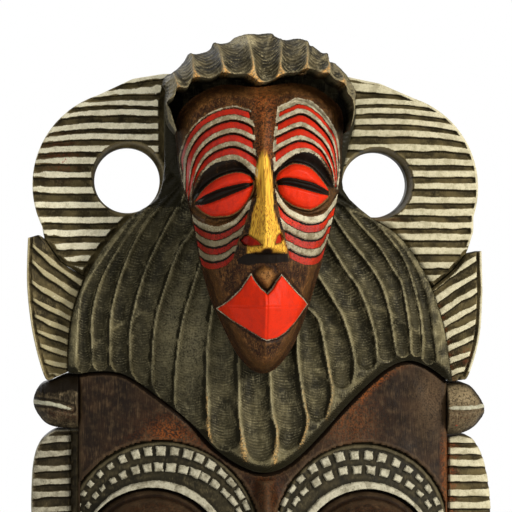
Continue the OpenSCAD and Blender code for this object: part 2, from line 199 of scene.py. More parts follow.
def cut_grid(s):
    """Triangles of the grid inside s >= 0, and what the new points on the rim are made from."""
    rows, columns = s.shape
    number = np.arange(rows * columns).reshape(rows, columns)
    a, b = number[:-1, :-1].ravel(), number[:-1, 1:].ravel()
    d, c = number[1:, :-1].ravel(), number[1:, 1:].ravel()
    flip = ((number[:-1, :-1] // columns + number[:-1, :-1] % columns) % 2).ravel() == 0
    first = np.where(flip[:, None], np.stack([a, b, c], 1), np.stack([a, b, d], 1))
    second = np.where(flip[:, None], np.stack([a, c, d], 1), np.stack([b, c, d], 1))
    triangles = np.vstack([first, second])
    level = s.ravel()
    inside = level[triangles] >= 0
    count = inside.sum(1)

    def turned(t, odd):
        order = (odd.argmax(1)[:, None] + np.arange(3)) % 3
        return np.take_along_axis(t, order, 1)

    one = turned(triangles[count == 1], inside[count == 1])
    two = turned(triangles[count == 2], ~inside[count == 2])
    total = level.size
    pairs = np.vstack([one[:, [0, 1]], one[:, [0, 2]], two[:, [1, 0]], two[:, [2, 0]]])
    keys, where = np.unique(pairs[:, 0] * total + pairs[:, 1], return_inverse=True)
    inner, outer = keys // total, keys % total
    share = level[inner] / (level[inner] - level[outer])
    made = np.where(level[inner] == 0, inner, total + np.arange(len(keys)))[where.ravel()]
    n, m = len(one), len(two)
    left, right = made[2 * n:2 * n + m], made[2 * n + m:]
    keep = np.vstack([triangles[(count == 3) & (level[triangles].max(1) > 0)],
                      np.stack([one[:, 0], made[:n], made[n:2 * n]], 1),
                      np.stack([left, two[:, 1], two[:, 2]], 1),
                      np.stack([left, two[:, 2], right], 1)])
    good = (keep[:, 0] != keep[:, 1]) & (keep[:, 1] != keep[:, 2]) & (keep[:, 0] != keep[:, 2])
    return keep[good], inner, outer, share


def rim_edges(triangles, total):
    """Edges used by one triangle only, in the direction that the triangle uses them."""
    edges = np.vstack([triangles[:, [0, 1]], triangles[:, [1, 2]], triangles[:, [2, 0]]])
    keys = edges[:, 0] * total + edges[:, 1]
    back = edges[:, 1] * total + edges[:, 0]
    return edges[~np.isin(keys, back)]


def plain_fields(count, **given):
    return {f: np.full(count, given.get(f, UNPAINTED if f in PAINTS else 0.0)) for f in FIELDS}


def carve(name, outline, shape, step, floor=None, holes=(), back=None, back_step=5.0, cuts=()):
    """Makes the piece on a grid of this step. shape(x, z, s) gives its depth and its painted fields
    over the outline, s is the distance to the rim; floor(x, z) is where its sides end; back(x, z)
    shapes the back. holes are circles, and a cut(x, z) is negative where it takes the piece away."""

    def inside_of(px, pz):
        return least(within(px, pz, outline), *(-in_circle(px, pz, *hole) for hole in holes),
                     *(cut(px, pz) for cut in cuts))

    # Front, a grid whose points near the rim are moved onto it
    line = np.array(outline)
    low, high = line.min(0) - 2 * step, line.max(0) + 2 * step
    x, z = np.meshgrid(np.arange(low[0], high[0], step), np.arange(low[1], high[1], step))
    s = inside_of(x, z)
    near = np.abs(s) < RIM_SNAP * step
    slope_x = (inside_of(x[near] + TINY, z[near]) - s[near]) / TINY
    slope_z = (inside_of(x[near], z[near] + TINY) - s[near]) / TINY
    steep = most(slope_x ** 2 + slope_z ** 2, 0.25)
    x[near], z[near] = (x[near] - s[near] * slope_x / steep, z[near] - s[near] * slope_z / steep)
    s[near] = 0.0
    made = shape(x, z, s)
    depth = made.pop("depth")
    made["crest"] = depth - blurred(depth, max(1, round(CREST_REACH / step)))
    triangles, inner, outer, share = cut_grid(s)

    def with_rim(grid):
        flat = np.broadcast_to(np.asarray(grid, float), s.shape).ravel()
        return np.concatenate([flat, lerp(flat[inner], flat[outer], share)])

    used, triangles = np.unique(triangles, return_inverse=True)
    triangles = triangles.reshape(-1, 3)
    front = len(used)
    fields = {f: with_rim(made.get(f, UNPAINTED if f in PAINTS else 0.0))[used] for f in FIELDS}
    px, pz, pd = (with_rim(grid)[used] for grid in (x, z, depth))

    # Sides, from the rim of the front straight back to the floor
    rim_points, rim = np.unique(rim_edges(triangles, front), return_inverse=True)
    rim = rim.reshape(-1, 2)
    n = len(rim_points)
    rx, rz, rd = px[rim_points], pz[rim_points], pd[rim_points]
    ground = np.zeros(n) if floor is None else least(floor(rx, rz), rd - 0.3)
    rows = max(2, int(np.ceil((rd.mean() - ground.mean()) / SIDE_ROW)))
    points = [np.stack([px, pd, pz], 1)]
    points += [np.stack([rx, lerp(rd, ground, row / rows), rz], 1) for row in range(rows + 1)]
    faces = [triangles]
    for row in range(rows):
        a, b = front + row * n + rim[:, 0], front + row * n + rim[:, 1]
        faces += [np.stack([b, a, a + n], 1), np.stack([b, a + n, b + n], 1)]
    side_fields = plain_fields((rows + 1) * n, dark=SIDE_STAIN)
    side_fields.update({f: np.tile(fields[f][rim_points], rows + 1) for f in WASHES})

    # Back, triangulated inside the same rim
    gx, gz = np.meshgrid(np.arange(low[0], high[0], back_step), np.arange(low[1], high[1], back_step))
    gx = gx + 0.3 * back_step * waver(gx, gz, 1.7 * back_step, 5)
    gz = gz + 0.3 * back_step * waver(gx, gz, 1.3 * back_step, 6)
    clear = inside_of(gx, gz) > 0.35 * back_step
    flat = np.stack([np.concatenate([rx, gx[clear]]), np.concatenate([rz, gz[clear]])], 1)
    flat = [Vector(p) for p in flat.tolist()]
    spots, _, cells, sources, *_ = delaunay_2d_cdt(flat, rim.tolist(), [], 0, 1e-5)
    tx, tz = np.array([spot[:] for spot in spots]).T
    tri = np.array([cell for cell in cells if len(cell) == 3])
    cx, cz = tx[tri], tz[tri]
    ux, vx, uz, vz = cx[:, 1] - cx[:, 0], cx[:, 2] - cx[:, 0], cz[:, 1] - cz[:, 0], cz[:, 2] - cz[:, 0]
    area = ux * vz - vx * uz
    good = (inside_of(cx.sum(1) / 3, cz.sum(1) / 3) > 0) & (np.abs(area) > 1e-9)
    tri = np.where((area > 0)[:, None], tri[:, ::-1], tri)[good]
    base = np.zeros(len(tx)) if floor is None else floor(tx, tz)
    if back is not None:
        base = base + back(tx, tz)
    source = np.array([min(given) if given else -1 for given in sources])
    on_rim = (source >= 0) & (source < n)
    base[on_rim] = ground[source[on_rim]]
    points.append(np.stack([tx, base, tz], 1))
    faces.append(tri + front + (rows + 1) * n)
    back_fields = plain_fields(len(tx), bare=1.0)

    places = np.vstack(points) * (1, -1, 1) / METRE
    values = {f: np.concatenate([fields[f], side_fields[f], back_fields[f]]) for f in FIELDS}
    return mesh_piece(name, places, np.vstack(faces), values)


def mesh_piece(name, places, faces, values):
    """A smooth-shaded mesh object with its painted fields kept on its points."""
    mesh = bpy.data.meshes.new(name)
    mesh.from_pydata(places.tolist(), [], faces.tolist())
    for field, numbers in values.items():
        layer = mesh.attributes.new(field, "FLOAT", "POINT")
        layer.data.foreach_set("value", np.asarray(numbers, np.float32))
    mesh.polygons.foreach_set("use_smooth", np.ones(len(faces), bool))
    mesh.update()
    piece = bpy.data.objects.new(name, mesh)
    bpy.context.scene.collection.objects.link(piece)
    return piece


def settle(piece, node, material):
    """Puts the piece in its CAD node's place."""
    piece.data.materials.append(material)
    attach(piece, "mask")
    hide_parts(node)


# ---------------------------------------------------------------------------------------------
# Finishes

SPECULAR = 0.09


class Finish:
    """A node material that reads the painted fields of a piece."""

    def __init__(self, name):
        self.material = bpy.data.materials.new(name)
        self.material.use_nodes = True
        self.tree = self.material.node_tree
        self.tree.nodes.clear()
        self.place = self.node("TexCoord").outputs["Object"]

    def node(self, kind, inputs=None, **settings):
        made = self.tree.nodes.new("ShaderNode" + kind)
        for key, value in settings.items():
            setattr(made, key, value)
        for key, value in (inputs or {}).items():
            if isinstance(value, bpy.types.NodeSocket):
                self.tree.links.new(value, made.inputs[key])
            else:
                made.inputs[key].default_value = value
        return made

    def field(self, name):
        return self.node("Attribute", attribute_name=name).outputs["Fac"]

    def noise(self, size, detail=2.0, stretch=(1, 1, 1), seed=0.0, rough=0.5):
        """Noise from 0 to 1 with lumps of this size in mm, drawn out along the stretched axes."""
        scale = tuple(METRE / (size * s) for s in stretch)
        place = self.node("Mapping", {"Vector": self.place, "Scale": scale, "Location": (seed, seed, seed)})
        made = self.node("TexNoise", {"Vector": place.outputs[0], "Scale": 1.0, "Detail": detail,
                                      "Roughness": rough})
        return made.outputs["Fac"]

    def math(self, operation, a, b=0.0, clamp=False):
        return self.node("Math", {0: a, 1: b}, operation=operation, use_clamp=clamp).outputs[0]

    def times(self, a, b):
        return self.math("MULTIPLY", a, b)

    def plus(self, a, b, clamp=False):
        return self.math("ADD", a, b, clamp)

    def band(self, value, low, high, start=0.0, end=1.0):
        """Goes smoothly from start to end as the value goes from low to high."""
        made = self.node("MapRange", {"Value": value, "From Min": low, "From Max": high, "To Min": start,
                                      "To Max": end}, interpolation_type="SMOOTHSTEP")
        return made.outputs["Result"]

    def mix(self, factor, a, b):
        return self.node("Mix", {0: factor, 6: a, 7: b}, data_type="RGBA").outputs[2]

    def blend(self, factor, a, b):
        return self.node("Mix", {0: factor, 2: a, 3: b}, data_type="FLOAT").outputs[0]

    def finish(self, bump, inputs):
        """Closes the material with one shader over a bump of these strength and distance inputs."""
        normal = self.node("Bump", bump).outputs[0]
        shader = self.node("BsdfPrincipled", {**inputs, "Normal": normal})
        self.node("OutputMaterial", {"Surface": shader.outputs[0]})
        return self.material

    def done(self, colour, roughness, height, strength=0.6, reach=0.0005):
        return self.finish({"Height": height, "Strength": strength, "Distance": reach},
                           {"Base Color": colour, "Roughness": roughness, "Specular IOR Level": SPECULAR})


def rgb(red, green, blue):
    """A colour given as it looks on a screen, from 0 to 255."""
    def linear(value):
        value /= 255.0
        return value / 12.92 if value <= 0.04045 else ((value + 0.055) / 1.055) ** 2.4
    return (linear(red), linear(green), linear(blue), 1.0)


SILVER = rgb(206, 203, 180)
SILVER_DULL = rgb(132, 127, 102)
RED = rgb(208, 42, 9)
RED_DEEP = rgb(140, 36, 28)
GOLD = rgb(244, 192, 70)
GOLD_BROWN = rgb(120, 66, 22)
BARE_WOOD = rgb(112, 74, 46)
BARE_DARK = rgb(86, 57, 37)
WARM = rgb(150, 78, 34)


def carved_wood(name, shade, body, light, warm=WARM, silver_wear=0.5, streaks=0.0, ripple=0.0,
                ripple_pitch=1.1, gloss=0.42, dry=0.5, fleck=0.0, silver=SILVER, dull=SILVER_DULL,
                ragged=0.45, sunk=0.75):
    """Stained and painted carved wood. shade, body and light are its dark, middle and pale colours:
    shade is laid in the cuts as painted shade and by the dark field, light where it is rubbed and by
    the pale field. ripple is the height of the gouge's chatter marks and ripple_pitch their spacing in
    mm, dry is how much the crests are rubbed, sunk how strongly the cuts are darkened with painted
    shade, and ragged how rough the silver's edges are."""
    f = Finish(name)
    crest, along = f.field("crest"), f.field("along")
    fine = f.noise(0.55, 3.0, seed=3.0)
    grain = f.noise(0.5, 3.0, stretch=(1, 1, 14), seed=7.0)
    cloud = f.noise(9.0, 3.0, seed=1.0)
    colour = f.mix(f.band(cloud, 0.35, 0.68), shade, body)
    patchy_grain = f.times(grain, f.noise(3.0, 2.0, seed=4.0))
    colour = f.mix(f.band(patchy_grain, 0.2, 0.5, 0.0, 0.55), colour, light)
    if streaks > 0:
        streak = f.noise(0.35, 2.0, stretch=(1, 1, 30), seed=11.0)
        colour = f.mix(f.band(streak, 0.5, 0.75, 0.0, streaks), colour, light)
    # Painted shade: the cuts and low spots are darkened towards the shade colour, as much as sunk says
    low_spots = f.math("SUBTRACT", crest, f.times(fine, 0.25))
    colour = f.mix(f.band(low_spots, -0.35, -0.02, sunk, 0.0), colour, shade)
    warmth = f.times(f.field("warm"), f.band(f.noise(1.0, 4.0, seed=9.0, rough=0.75), 0.4, 0.62))
    colour = f.mix(warmth, colour, warm)
    # The pale field lays the light colour; in places it is a painted highlight or painted light
    paleness = f.times(f.field("pale"), f.band(f.noise(0.9, 3.0, seed=41.0, rough=0.6), 0.3, 0.6))
    colour = f.mix(paleness, colour, light)
    rubbed = f.band(f.plus(crest, f.times(f.noise(1.4, 3.0, seed=5.0), 0.3)), 0.24, 0.42)
    colour = f.mix(f.times(rubbed, dry), colour, light)
    height = f.plus(f.times(grain, 0.5), f.times(fine, 0.5))
    if ripple > 0:
        shift = f.times(f.noise(5.0, 2.0, seed=13.0), 9.0)
        wave = f.math("SINE", f.plus(f.times(along, 2.0 * math.pi / ripple_pitch), shift))
        patch = f.band(f.noise(4.0, 2.0, seed=15.0), 0.35, 0.6)
        ridge = f.times(f.band(wave, 0.35, 1.0), patch)
        broken = f.band(f.noise(1.0, 2.0, seed=17.0), 0.4, 0.7, 0.0, ripple)
        colour = f.mix(f.times(ridge, broken), colour, light)
        height = f.plus(height, f.times(wave, 0.9 * ripple))
    if fleck > 0:
        spots = f.band(f.noise(0.8, 4.0, seed=21.0, rough=0.8), 0.56, 0.66, 0.0, fleck)
        colour = f.mix(spots, colour, light)
    rough = f.band(cloud, 0.3, 0.7, gloss, gloss + 0.16)

    def layer(base, rough_base, key, good, worn, wear, edge=0.45, patch_size=0.8, rough_paint=0.42):
        """One paint over the rest, worn in patches, pitted and chipped."""
        inside = f.plus(f.field(key), f.times(f.math("SUBTRACT", fine, 0.5), edge * 2))
        mottle = f.noise(patch_size, 4.0, seed=23.0, rough=0.65)
        broad = f.noise(patch_size * 5, 3.0, seed=25.0, rough=0.6)
        worn_share = f.plus(f.band(mottle, 0.45, 0.75, 0.0, 0.55 * wear),
                            f.band(broad, 0.42, 0.66, 0.0, 0.75 * wear), clamp=True)
        faded = f.times(f.field("faded"), f.band(mottle, 0.2, 0.6, 0.55, 1.0))
        tint = f.mix(f.plus(worn_share, faded, clamp=True), good, worn)
        pits = f.band(f.noise(0.55, 3.0, seed=43.0, rough=0.8), 0.58, 0.68, 0.0, 0.6)
        tint = f.mix(pits, tint, worn)
        flaky = f.noise(1.1, 4.0, seed=29.0, rough=0.75)
        chips = f.band(flaky, 0.63 - 0.05 * wear, 0.68, 1.0, 1.0 - wear)
        mask = f.times(f.band(inside, -0.12, 0.16), chips)
        return f.mix(mask, base, tint), f.blend(mask, rough_base, rough_paint)

    # The dark field lays the shade colour: dark paint, and painted shade where the shapes put it
    colour, rough = layer(colour, rough, "dark", shade, shade, 0.0)
    colour, rough = layer(colour, rough, "silver", silver, dull, silver_wear, edge=ragged)
    colour, rough = layer(colour, rough, "red", RED, RED_DEEP, 0.3, edge=0.42, patch_size=0.9,
                          rough_paint=0.36)
    gold_streak = f.noise(0.55, 3.0, stretch=(1, 1, 28), seed=31.0)
    golden = f.mix(f.band(gold_streak, 0.42, 0.66), GOLD, GOLD_BROWN)
    gold_edge = f.plus(f.field("gold"), f.times(f.math("SUBTRACT", gold_streak, 0.5), 5.0))
    colour = f.mix(f.band(gold_edge, -0.4, 0.5), colour, golden)
    bare = f.field("bare")
    rings = f.noise(2.2, 3.0, stretch=(1, 1, 16), seed=37.0)
    raw = f.mix(f.band(rings, 0.35, 0.65), BARE_DARK, BARE_WOOD)
    colour, rough = f.mix(bare, colour, raw), f.blend(bare, rough, 0.62)
    return f.done(colour, rough, height, strength=0.55, reach=0.0004)


def brushed_steel():
    f = Finish("zinc_steel")
    brush = f.noise(0.35, 3.0, stretch=(12, 1, 1), seed=2.0)
    tarnish = f.noise(2.5, 3.0, seed=8.0)
    colour = f.mix(f.band(tarnish, 0.4, 0.7), rgb(176, 178, 180), rgb(128, 124, 116))
    return f.finish({"Height": brush, "Strength": 0.3, "Distance": 0.0001},
                    {"Base Color": colour, "Metallic": 1.0,
                     "Roughness": f.band(brush, 0.3, 0.7, 0.28, 0.45)})


def turned_wood():
    f = Finish("dowel_wood")
    grain = f.noise(0.6, 3.0, stretch=(1, 1, 10), seed=2.0)
    colour = f.mix(f.band(grain, 0.35, 0.65), rgb(196, 160, 112), rgb(150, 112, 70))
    return f.done(colour, f.band(grain, 0.3, 0.7, 0.5, 0.65), grain, strength=0.3, reach=0.0002)


face_wood = carved_wood(
    "face_wood", rgb(26, 18, 11), rgb(48, 33, 21), rgb(98, 78, 54), warm=rgb(150, 78, 26),
    streaks=0.16, dry=0.2)
hair_wood = carved_wood(
    "hair_wood", rgb(32, 29, 17), rgb(98, 90, 63), rgb(164, 154, 118), warm=rgb(196, 154, 92),
    ripple=0.35, ripple_pitch=1.35, gloss=0.48, dry=0.06)
crown_wood = carved_wood(
    "crown_wood", rgb(30, 26, 14), rgb(88, 78, 53), rgb(184, 170, 130), warm=rgb(232, 164, 78),
    ripple=0.6, ripple_pitch=1.9, gloss=0.5, dry=0.2)
board_wood = carved_wood(
    "board_wood", rgb(38, 32, 17), rgb(98, 86, 55), rgb(132, 118, 82), warm=rgb(130, 66, 36),
    silver_wear=0.6, gloss=0.5, dry=0.3, silver=rgb(202, 194, 162), dull=rgb(128, 118, 88), sunk=0.25)
board_wood_left = carved_wood(
    "board_wood_left", rgb(40, 34, 19), rgb(108, 95, 62), rgb(142, 127, 90), warm=rgb(134, 60, 34),
    gloss=0.5, dry=0.3, silver=rgb(248, 240, 208), dull=rgb(170, 158, 120), sunk=0.25)
band_wood_left = carved_wood(
    "band_wood_left", rgb(30, 25, 14), rgb(64, 55, 37), rgb(98, 86, 60), silver_wear=0.8, gloss=0.5,
    dry=0.3, silver=rgb(168, 161, 138), dull=rgb(84, 77, 60), sunk=0.4)
small_wood = carved_wood(
    "small_face_wood", rgb(20, 13, 7), rgb(31, 19, 10), rgb(140, 96, 50), warm=rgb(136, 74, 32),
    silver_wear=0.7, gloss=0.44, dry=0.12, fleck=0.6, streaks=0.1, silver=rgb(200, 191, 162),
    dull=rgb(118, 107, 82), ragged=0.7)
knob_wood = carved_wood(
    "knob_wood", rgb(24, 18, 10), rgb(36, 28, 16), rgb(146, 128, 96), warm=rgb(66, 38, 20),
    silver_wear=0.3, streaks=0.16, fleck=0.15, dry=0.12)
arch_wood = carved_wood(
    "arch_wood", rgb(28, 25, 15), rgb(62, 55, 38), rgb(108, 98, 70), silver_wear=0.85, gloss=0.48,
    dry=0.3, silver=rgb(182, 176, 152), dull=rgb(106, 99, 78), ragged=0.6)
lid_wood = carved_wood(
    "lid_wood", rgb(22, 15, 9), rgb(42, 30, 19), rgb(84, 68, 48), warm=rgb(100, 60, 28), streaks=0.2,
    dry=0.2)

# ---------------------------------------------------------------------------------------------
# Outlines. The hairline, the left knob, the left band, the brow arches and the crown's ends were
# drawn again after the CAD was finished. Most of them differ from it by a few millimetres, and
# the arches and the eyes inside them by up to about 17. The other outlines are those of the CAD.

FACE_LEFT, FACE_RIGHT = -91.0, 93.0
NECK_TOP = [[45, 100], [41, 111], [28, 119], [-1, 122], [-30, 119], [-44, 111], [-48.5, 100]]
HAIR_LEFT_UPPER = [[-48.5, 100], [-48.5, 82], [-48.5, 64], [-52, 50.5], [-64, 42], [-78, 27], [-87.5, 11]]
HAIR_LEFT_LOWER = [[-87.5, 11], [-93, -4], [-95.5, -20], [-96, -35.5]]
HAIRLINE = [[-96, -35.5], [-91, -36.2], [-84, -35.2], [-74, -35.2], [-65, -38.2], [-50.5, -48.3],
            [-36, -59.8], [-23.5, -72.8], [-11, -81.2], [1, -84.5], [13.5, -80], [28, -67], [41, -53],
            [53, -41.5], [63, -33.5], [73, -30], [83, -33], [93, -40], [95, -41]]
HAIR_RIGHT_LOWER = [[95, -41], [93, -27], [90.5, -12], [85, 5]]
HAIR_RIGHT_UPPER = [[85, 5], [78, 19], [67, 33], [53, 42], [40, 55], [41, 72], [45, 88], [45, 100]]
SEAM_LEFT = [[-87.5, 11], [-100, 19], [-108, 30.5]]
SEAM_RIGHT = [[85, 5], [96, 14], [103.5, 23]]
JAW_LINE = [[-91, -172], [-86, -197], [-76, -222], [-61, -248], [-42, -274], [-22, -294], [1, -303],
            [24, -294], [44, -274], [63, -248], [78, -222], [88, -197], [93, -172]]
SMALL_OUTLINE = [[37.5, 76], [37, 88], [34, 95], [24, 102.5], [12, 105], [-4, 103], [-21, 104],
                 [-35, 98], [-43, 88], [-43, 76], [-40.5, 58], [-36, 43], [-32, 22], [-27, 3],
                 [-21, -11], [-14.5, -24], [-8, -32], [-1, -35], [6, -32], [13.5, -22], [19, -9],
                 [23, 3], [28, 20], [33, 39], [36.5, 57]]

hair_left_lower = run(HAIR_LEFT_LOWER, 3)
hair_right_lower = run(HAIR_RIGHT_LOWER, 3)
hairline = run(HAIRLINE)
hair_outline = (run(NECK_TOP, 3)[:-1] + run(HAIR_LEFT_UPPER, 3)[:-1] + hair_left_lower[:-1] + hairline[:-1]
                + hair_right_lower[:-1] + run(HAIR_RIGHT_UPPER, 3)[:-1])
face_hairline = [p for p in hairline if FACE_LEFT <= p[0] <= FACE_RIGHT]
face_outline = face_hairline[::-1] + run(JAW_LINE)


def rounded(s, radius):
    """How far a rounded edge has dropped, s inside the rim."""
    t = np.clip(1.0 - s / radius, 0.0, 1.0)
    return radius * (1.0 - np.sqrt(most(1.0 - t * t, 0.0)))


def gouged(x, z, ridges, ends, deepest, bow, rounding=0.6, lowest=np.inf):
    """Gouge cuts side by side between ridge lines that run down the front view. Gives the cut's
    depth, the place across it from -1 to 1, the height measured along the bowed ripples, the height
    of its lower end, and how hollow it is there from 0 to 1."""
    places = []
    for ridge in ridges:
        line = np.array(run(ridge))
        line = line[np.argsort(line[:, 1])]
        at = np.interp(z, line[:, 1], line[:, 0])
        slope = (line[1, 0] - line[0, 0]) / (line[1, 1] - line[0, 1])
        at = np.where(z < line[0, 1], line[0, 0] + 0.3 * slope * (z - line[0, 1]), at)
        slope = (line[-1, 0] - line[-2, 0]) / (line[-1, 1] - line[-2, 1])
        places.append(np.where(z > line[-1, 1], line[-1, 0] + slope * (z - line[-1, 1]), at))
    places = np.stack(places)
    which = np.clip((places < x).sum(0) - 1, 0, len(ridges) - 2)
    left = np.take_along_axis(places, which[None], 0)[0]
    right = np.take_along_axis(places, which[None] + 1, 0)[0]
    width = most(right - left, 1.0)
    across = np.clip(2.0 * (x - left) / width - 1.0, -1.4, 1.4)
    end = np.asarray(ends, float)[which]
    rise = most(0.0, rounding - (z - least(end, lowest)) / width) / rounding
    bowl = np.clip(1.0 - across ** 2 - rise ** 2, 0.0, 1.0)
    depth = least(deepest, 0.40 * width) * bowl ** 0.85
    return depth, across, z - bow * width * across ** 2, end, bowl


# ---------------------------------------------------------------------------------------------
# Hair block

HAIR_DEPTH, HAIR_EDGE_DEPTH = 46.0, 33.0
HAIR_LIT = 40.0
HAIR_RIPPLE = 1.5
HAIR_RIDGES = [
    [[-70, 33.5], [-87, 8.5], [-90.5, -5], [-92, -28.5]],
    [[-59, 43.5], [-75, 19.5], [-81.5, 4.5], [-84.5, -11], [-84, -23.5]],
    [[-45.5, 52.5], [-59, 36.5], [-68.5, 16.5], [-74.5, -5], [-75.5, -23.5]],
    [[-40, 50.5], [-50.5, 31], [-59, 12], [-65, -11], [-65.5, -23.5]],
    [[-37, 31.5], [-42.5, 23], [-51, -2], [-53.5, -14], [-54.5, -28.5]],
    [[-31.5, 17], [-37.5, -2], [-40.5, -14], [-43, -33]],
    [[-25.5, -5], [-27, -17.5], [-28, -33], [-27, -60]],
    [[-12.5, -30], [-12.5, -35.5], [-12, -57], [-9, -75.5]],
    [[3, -37.5], [4, -54.5], [6.5, -64.5], [5.5, -76]],
    [[16.5, -11.5], [16.5, -27], [19, -45.5], [21.5, -59], [19, -68.5]],
    [[23.5, -5.5], [27.5, -11.5], [32, -33.5], [34, -45], [32, -54.5]],
    [[27.5, 11], [34, 0.5], [39.5, -9.5], [45, -28], [44.5, -43]],
    [[33, 27], [41, 14], [47.5, 4.5], [55, -16], [57, -29]],
    [[36.5, 39], [43, 29.5], [51, 19.5], [57.5, 9.5], [61.5, -2], [66.5, -26]],
    [[41.5, 45.5], [50, 35.5], [57.5, 27], [64.5, 15.5], [69.5, 6], [73.5, -20.5]],
    [[47, 43.5], [55.5, 39], [64, 29.5], [71.5, 18], [78, -5], [79.5, -22.5]],
    [[53, 41.5], [67, 30], [76.5, 16], [82.5, 0.5], [85.5, -19], [86.5, -27.5]],
]
HAIR_ENDS = [-30, -30.5, -30.5, -34, -44, -58.5, -74, -80, -74, -60, -44, -35, -31, -28.5, -28, -32]


def hair_surface(x, z, s):
    spread = ease(np.abs(x) / 60)
    rim = lerp(lerp(HAIR_DEPTH - 1, HAIR_EDGE_DEPTH, spread), HAIR_DEPTH, ease((z - 50) / 30))
    reach = 1.0 - np.clip(s / 60.0, 0.0, 1.0)
    return lerp(HAIR_DEPTH, rim, ease((reach - 0.35) / 0.65))


def hair_shape(x, z, s):
    # The cuts left of the middle run down to the hairline, and keep their own ends right of it
    at_hairline = np.interp(x, *np.array(hairline).T)
    lowest = at_hairline + lerp(0.0, 60.0, ease((x + 26) / 14))
    cut, across, along, end, bowl = gouged(x, z, HAIR_RIDGES, HAIR_ENDS, 5.0, 0.22, lowest=lowest)
    below = distance(x, z, hairline)
    edge = ease((z + 92) / 60)
    depth = hair_surface(x, z, s) - cut - rounded(s, 4.5) * 0.8
    depth = depth - 1.4 * (1 - ease((below - 1.0) / 4.0)) * (s > 0)
    depth = depth + 0.25 * waver(x, z, 3.5, 3) * edge + 0.06 * waver(x, z, 0.9, 4)
    ripples = np.sin(along * 2 * math.pi / HAIR_RIPPLE + 3 * waver(x, z, 6, 8))
    depth = depth + 0.09 * ripples * ease(bowl * 3)
    tips = hump(np.abs(across) - 1.0, 0.16) * ease((HAIR_LIT - np.abs(x)) / 12)
    warm = np.clip(tips * ease((end + 22 - z) / 16) * 1.2, 0, 1) * (cut < 1.6)
    # Painted shade in the groove along the hairline, below the cuts' ends
    dark = np.where((below < 9) & (bowl < 0.05), 0.6 - below * 0.15, UNPAINTED)
    # Painted shadow cast by the small mask on the hair beside it, on both sides
    small_mask_shadow = least(z - 46, least(108 - z, np.abs(x + 2) - 38)) * 0.3
    dark = most(dark, least(small_mask_shadow, 0.6) + 0.2 * waver(x, z, 2.5, 9))
    # Painted shade along the right wall of each cut, the side turned from the light
    shaded = 0.32 - np.abs(across - 0.84) * 2.4 + 0.3 * waver(x * 2, z, 4, 11)
    dark = most(dark, np.where(bowl > 0.02, shaded, UNPAINTED))
    # Painted highlight on the left edge of each cut, where the light falls, and painted light on the hair
    # left of the small mask's chin, where its shadow falls
    pale = (0.8 * hump(across + 1.0, 0.09) * ease((below - 5) / 6)
            + 0.35 * hump(x + 38, 16) * hump(z + 18, 26))
    return {"depth": depth, "along": along, "warm": warm, "dark": dark, "pale": pale}


POCKET_DEPTH, POCKET_HALF_W, POCKET_LOW, POCKET_HIGH = 7.0, 16.0, 42.0, 86.0


def adze(x, z, size, depth, seed):
    """Shallow overlapping tool cuts, as depths taken off a plain back."""
    return depth * (0.5 + 0.5 * waver(x, z * 0.55, size, seed)) + 0.15 * waver(x, z, size * 0.3, seed + 1)


LOOP_R, HOLE_R, BOARD_DEPTH = 47.0, 16.5, 20.0
LOOP_MIDDLE = {"left": (-67.0, 57.5), "right": (62.5, 56.5)}
HOLE_MIDDLE = {"left": (-67.0, 60.0), "right": (58.0, 58.0)}
loop_outline = {
    "left": ([(-34, 113), (-49, 113), (-64, 110.5)] + arc(LOOP_MIDDLE["left"], LOOP_R, 108, 206, 60)
             + SEAM_LEFT[::-1] + [(-78, 3), (-66, 17), (-50, 34), (-36, 52)]),
    "right": ([(30, 52), (44, 36), (58, 22), (74, 2)] + SEAM_RIGHT + [(107, 34)]
              + arc(LOOP_MIDDLE["right"], LOOP_R, -18, 72, 60) + [(60, 108.5), (43, 112), (29, 112)]),
}


def hair_back(x, z):
    pocket = least(POCKET_HALF_W - np.abs(x), least(z - POCKET_LOW, POCKET_HIGH - z))
    let_in = most(within(x, z, loop_outline["left"]), within(x, z, loop_outline["right"]))
    flat = np.where(pocket > 0, POCKET_DEPTH, 0.35 * adze(x, z, 9, 1.0, 40))
    return np.where(let_in > 0, 0.9, flat)


# ---------------------------------------------------------------------------------------------
# Striped boards


def stripes(v, centres, scale, half, ends, groove=1.9):
    """Raised bands at the given heights between cut grooves. v is the height in the centres' own
    unit and scale its size in mm; ends is the distance inside the area that has bands. Gives how
    far a point is inside a band, the depth of the groove, and painted shade along the groove's walls:
    a dark strip just below each band and a thinner one above the next."""
    centres = np.asarray(centres, float)
    middle = (centres[:-1] + centres[1:]) / 2
    k = np.searchsorted(-middle, -v)
    off = (v - centres[k]) * scale
    above = centres[most(k - 1, 0)] - centres[k]
    below = centres[k] - centres[least(k + 1, len(centres) - 1)]
    gap = most(np.where(off > 0, above, below) * scale - 2 * half, 0.8)
    t = np.where(off < 0, (-off - half) / gap, 1 - (off - half) / gap)
    land = least(half - np.abs(off), ends)
    t = np.where(land < half - np.abs(off), 0.6, np.clip(t, 0, 1))    # past the bands' ends
    floor = np.clip(-land / 0.75, 0, 1) * (1.0 - 0.62 * ease((t - 0.25) / 0.75))
    # Painted shade: dark just below each band, where the band shades the groove, and a thin line above the
    # next band
    lines = most((0.3 - t) * 2.0, (t - 0.93) * 3.0)
    return land, groove * floor, np.where(land < -0.05, lines, UNPAINTED)


LOOP_STRIPES = {
    "left": [117, 110.5, 105, 99.3, 94, 87, 81.5, 75.5, 69.5, 62.5, 55, 47.5, 40, 33.5, 27, 20.8, 15.6],
    "right": [115, 108, 101.5, 95.8, 89.5, 83.5, 76.5, 69.5, 63.3, 57, 50, 44, 37.5, 31.5, 24.5, 17.5, 11],
}


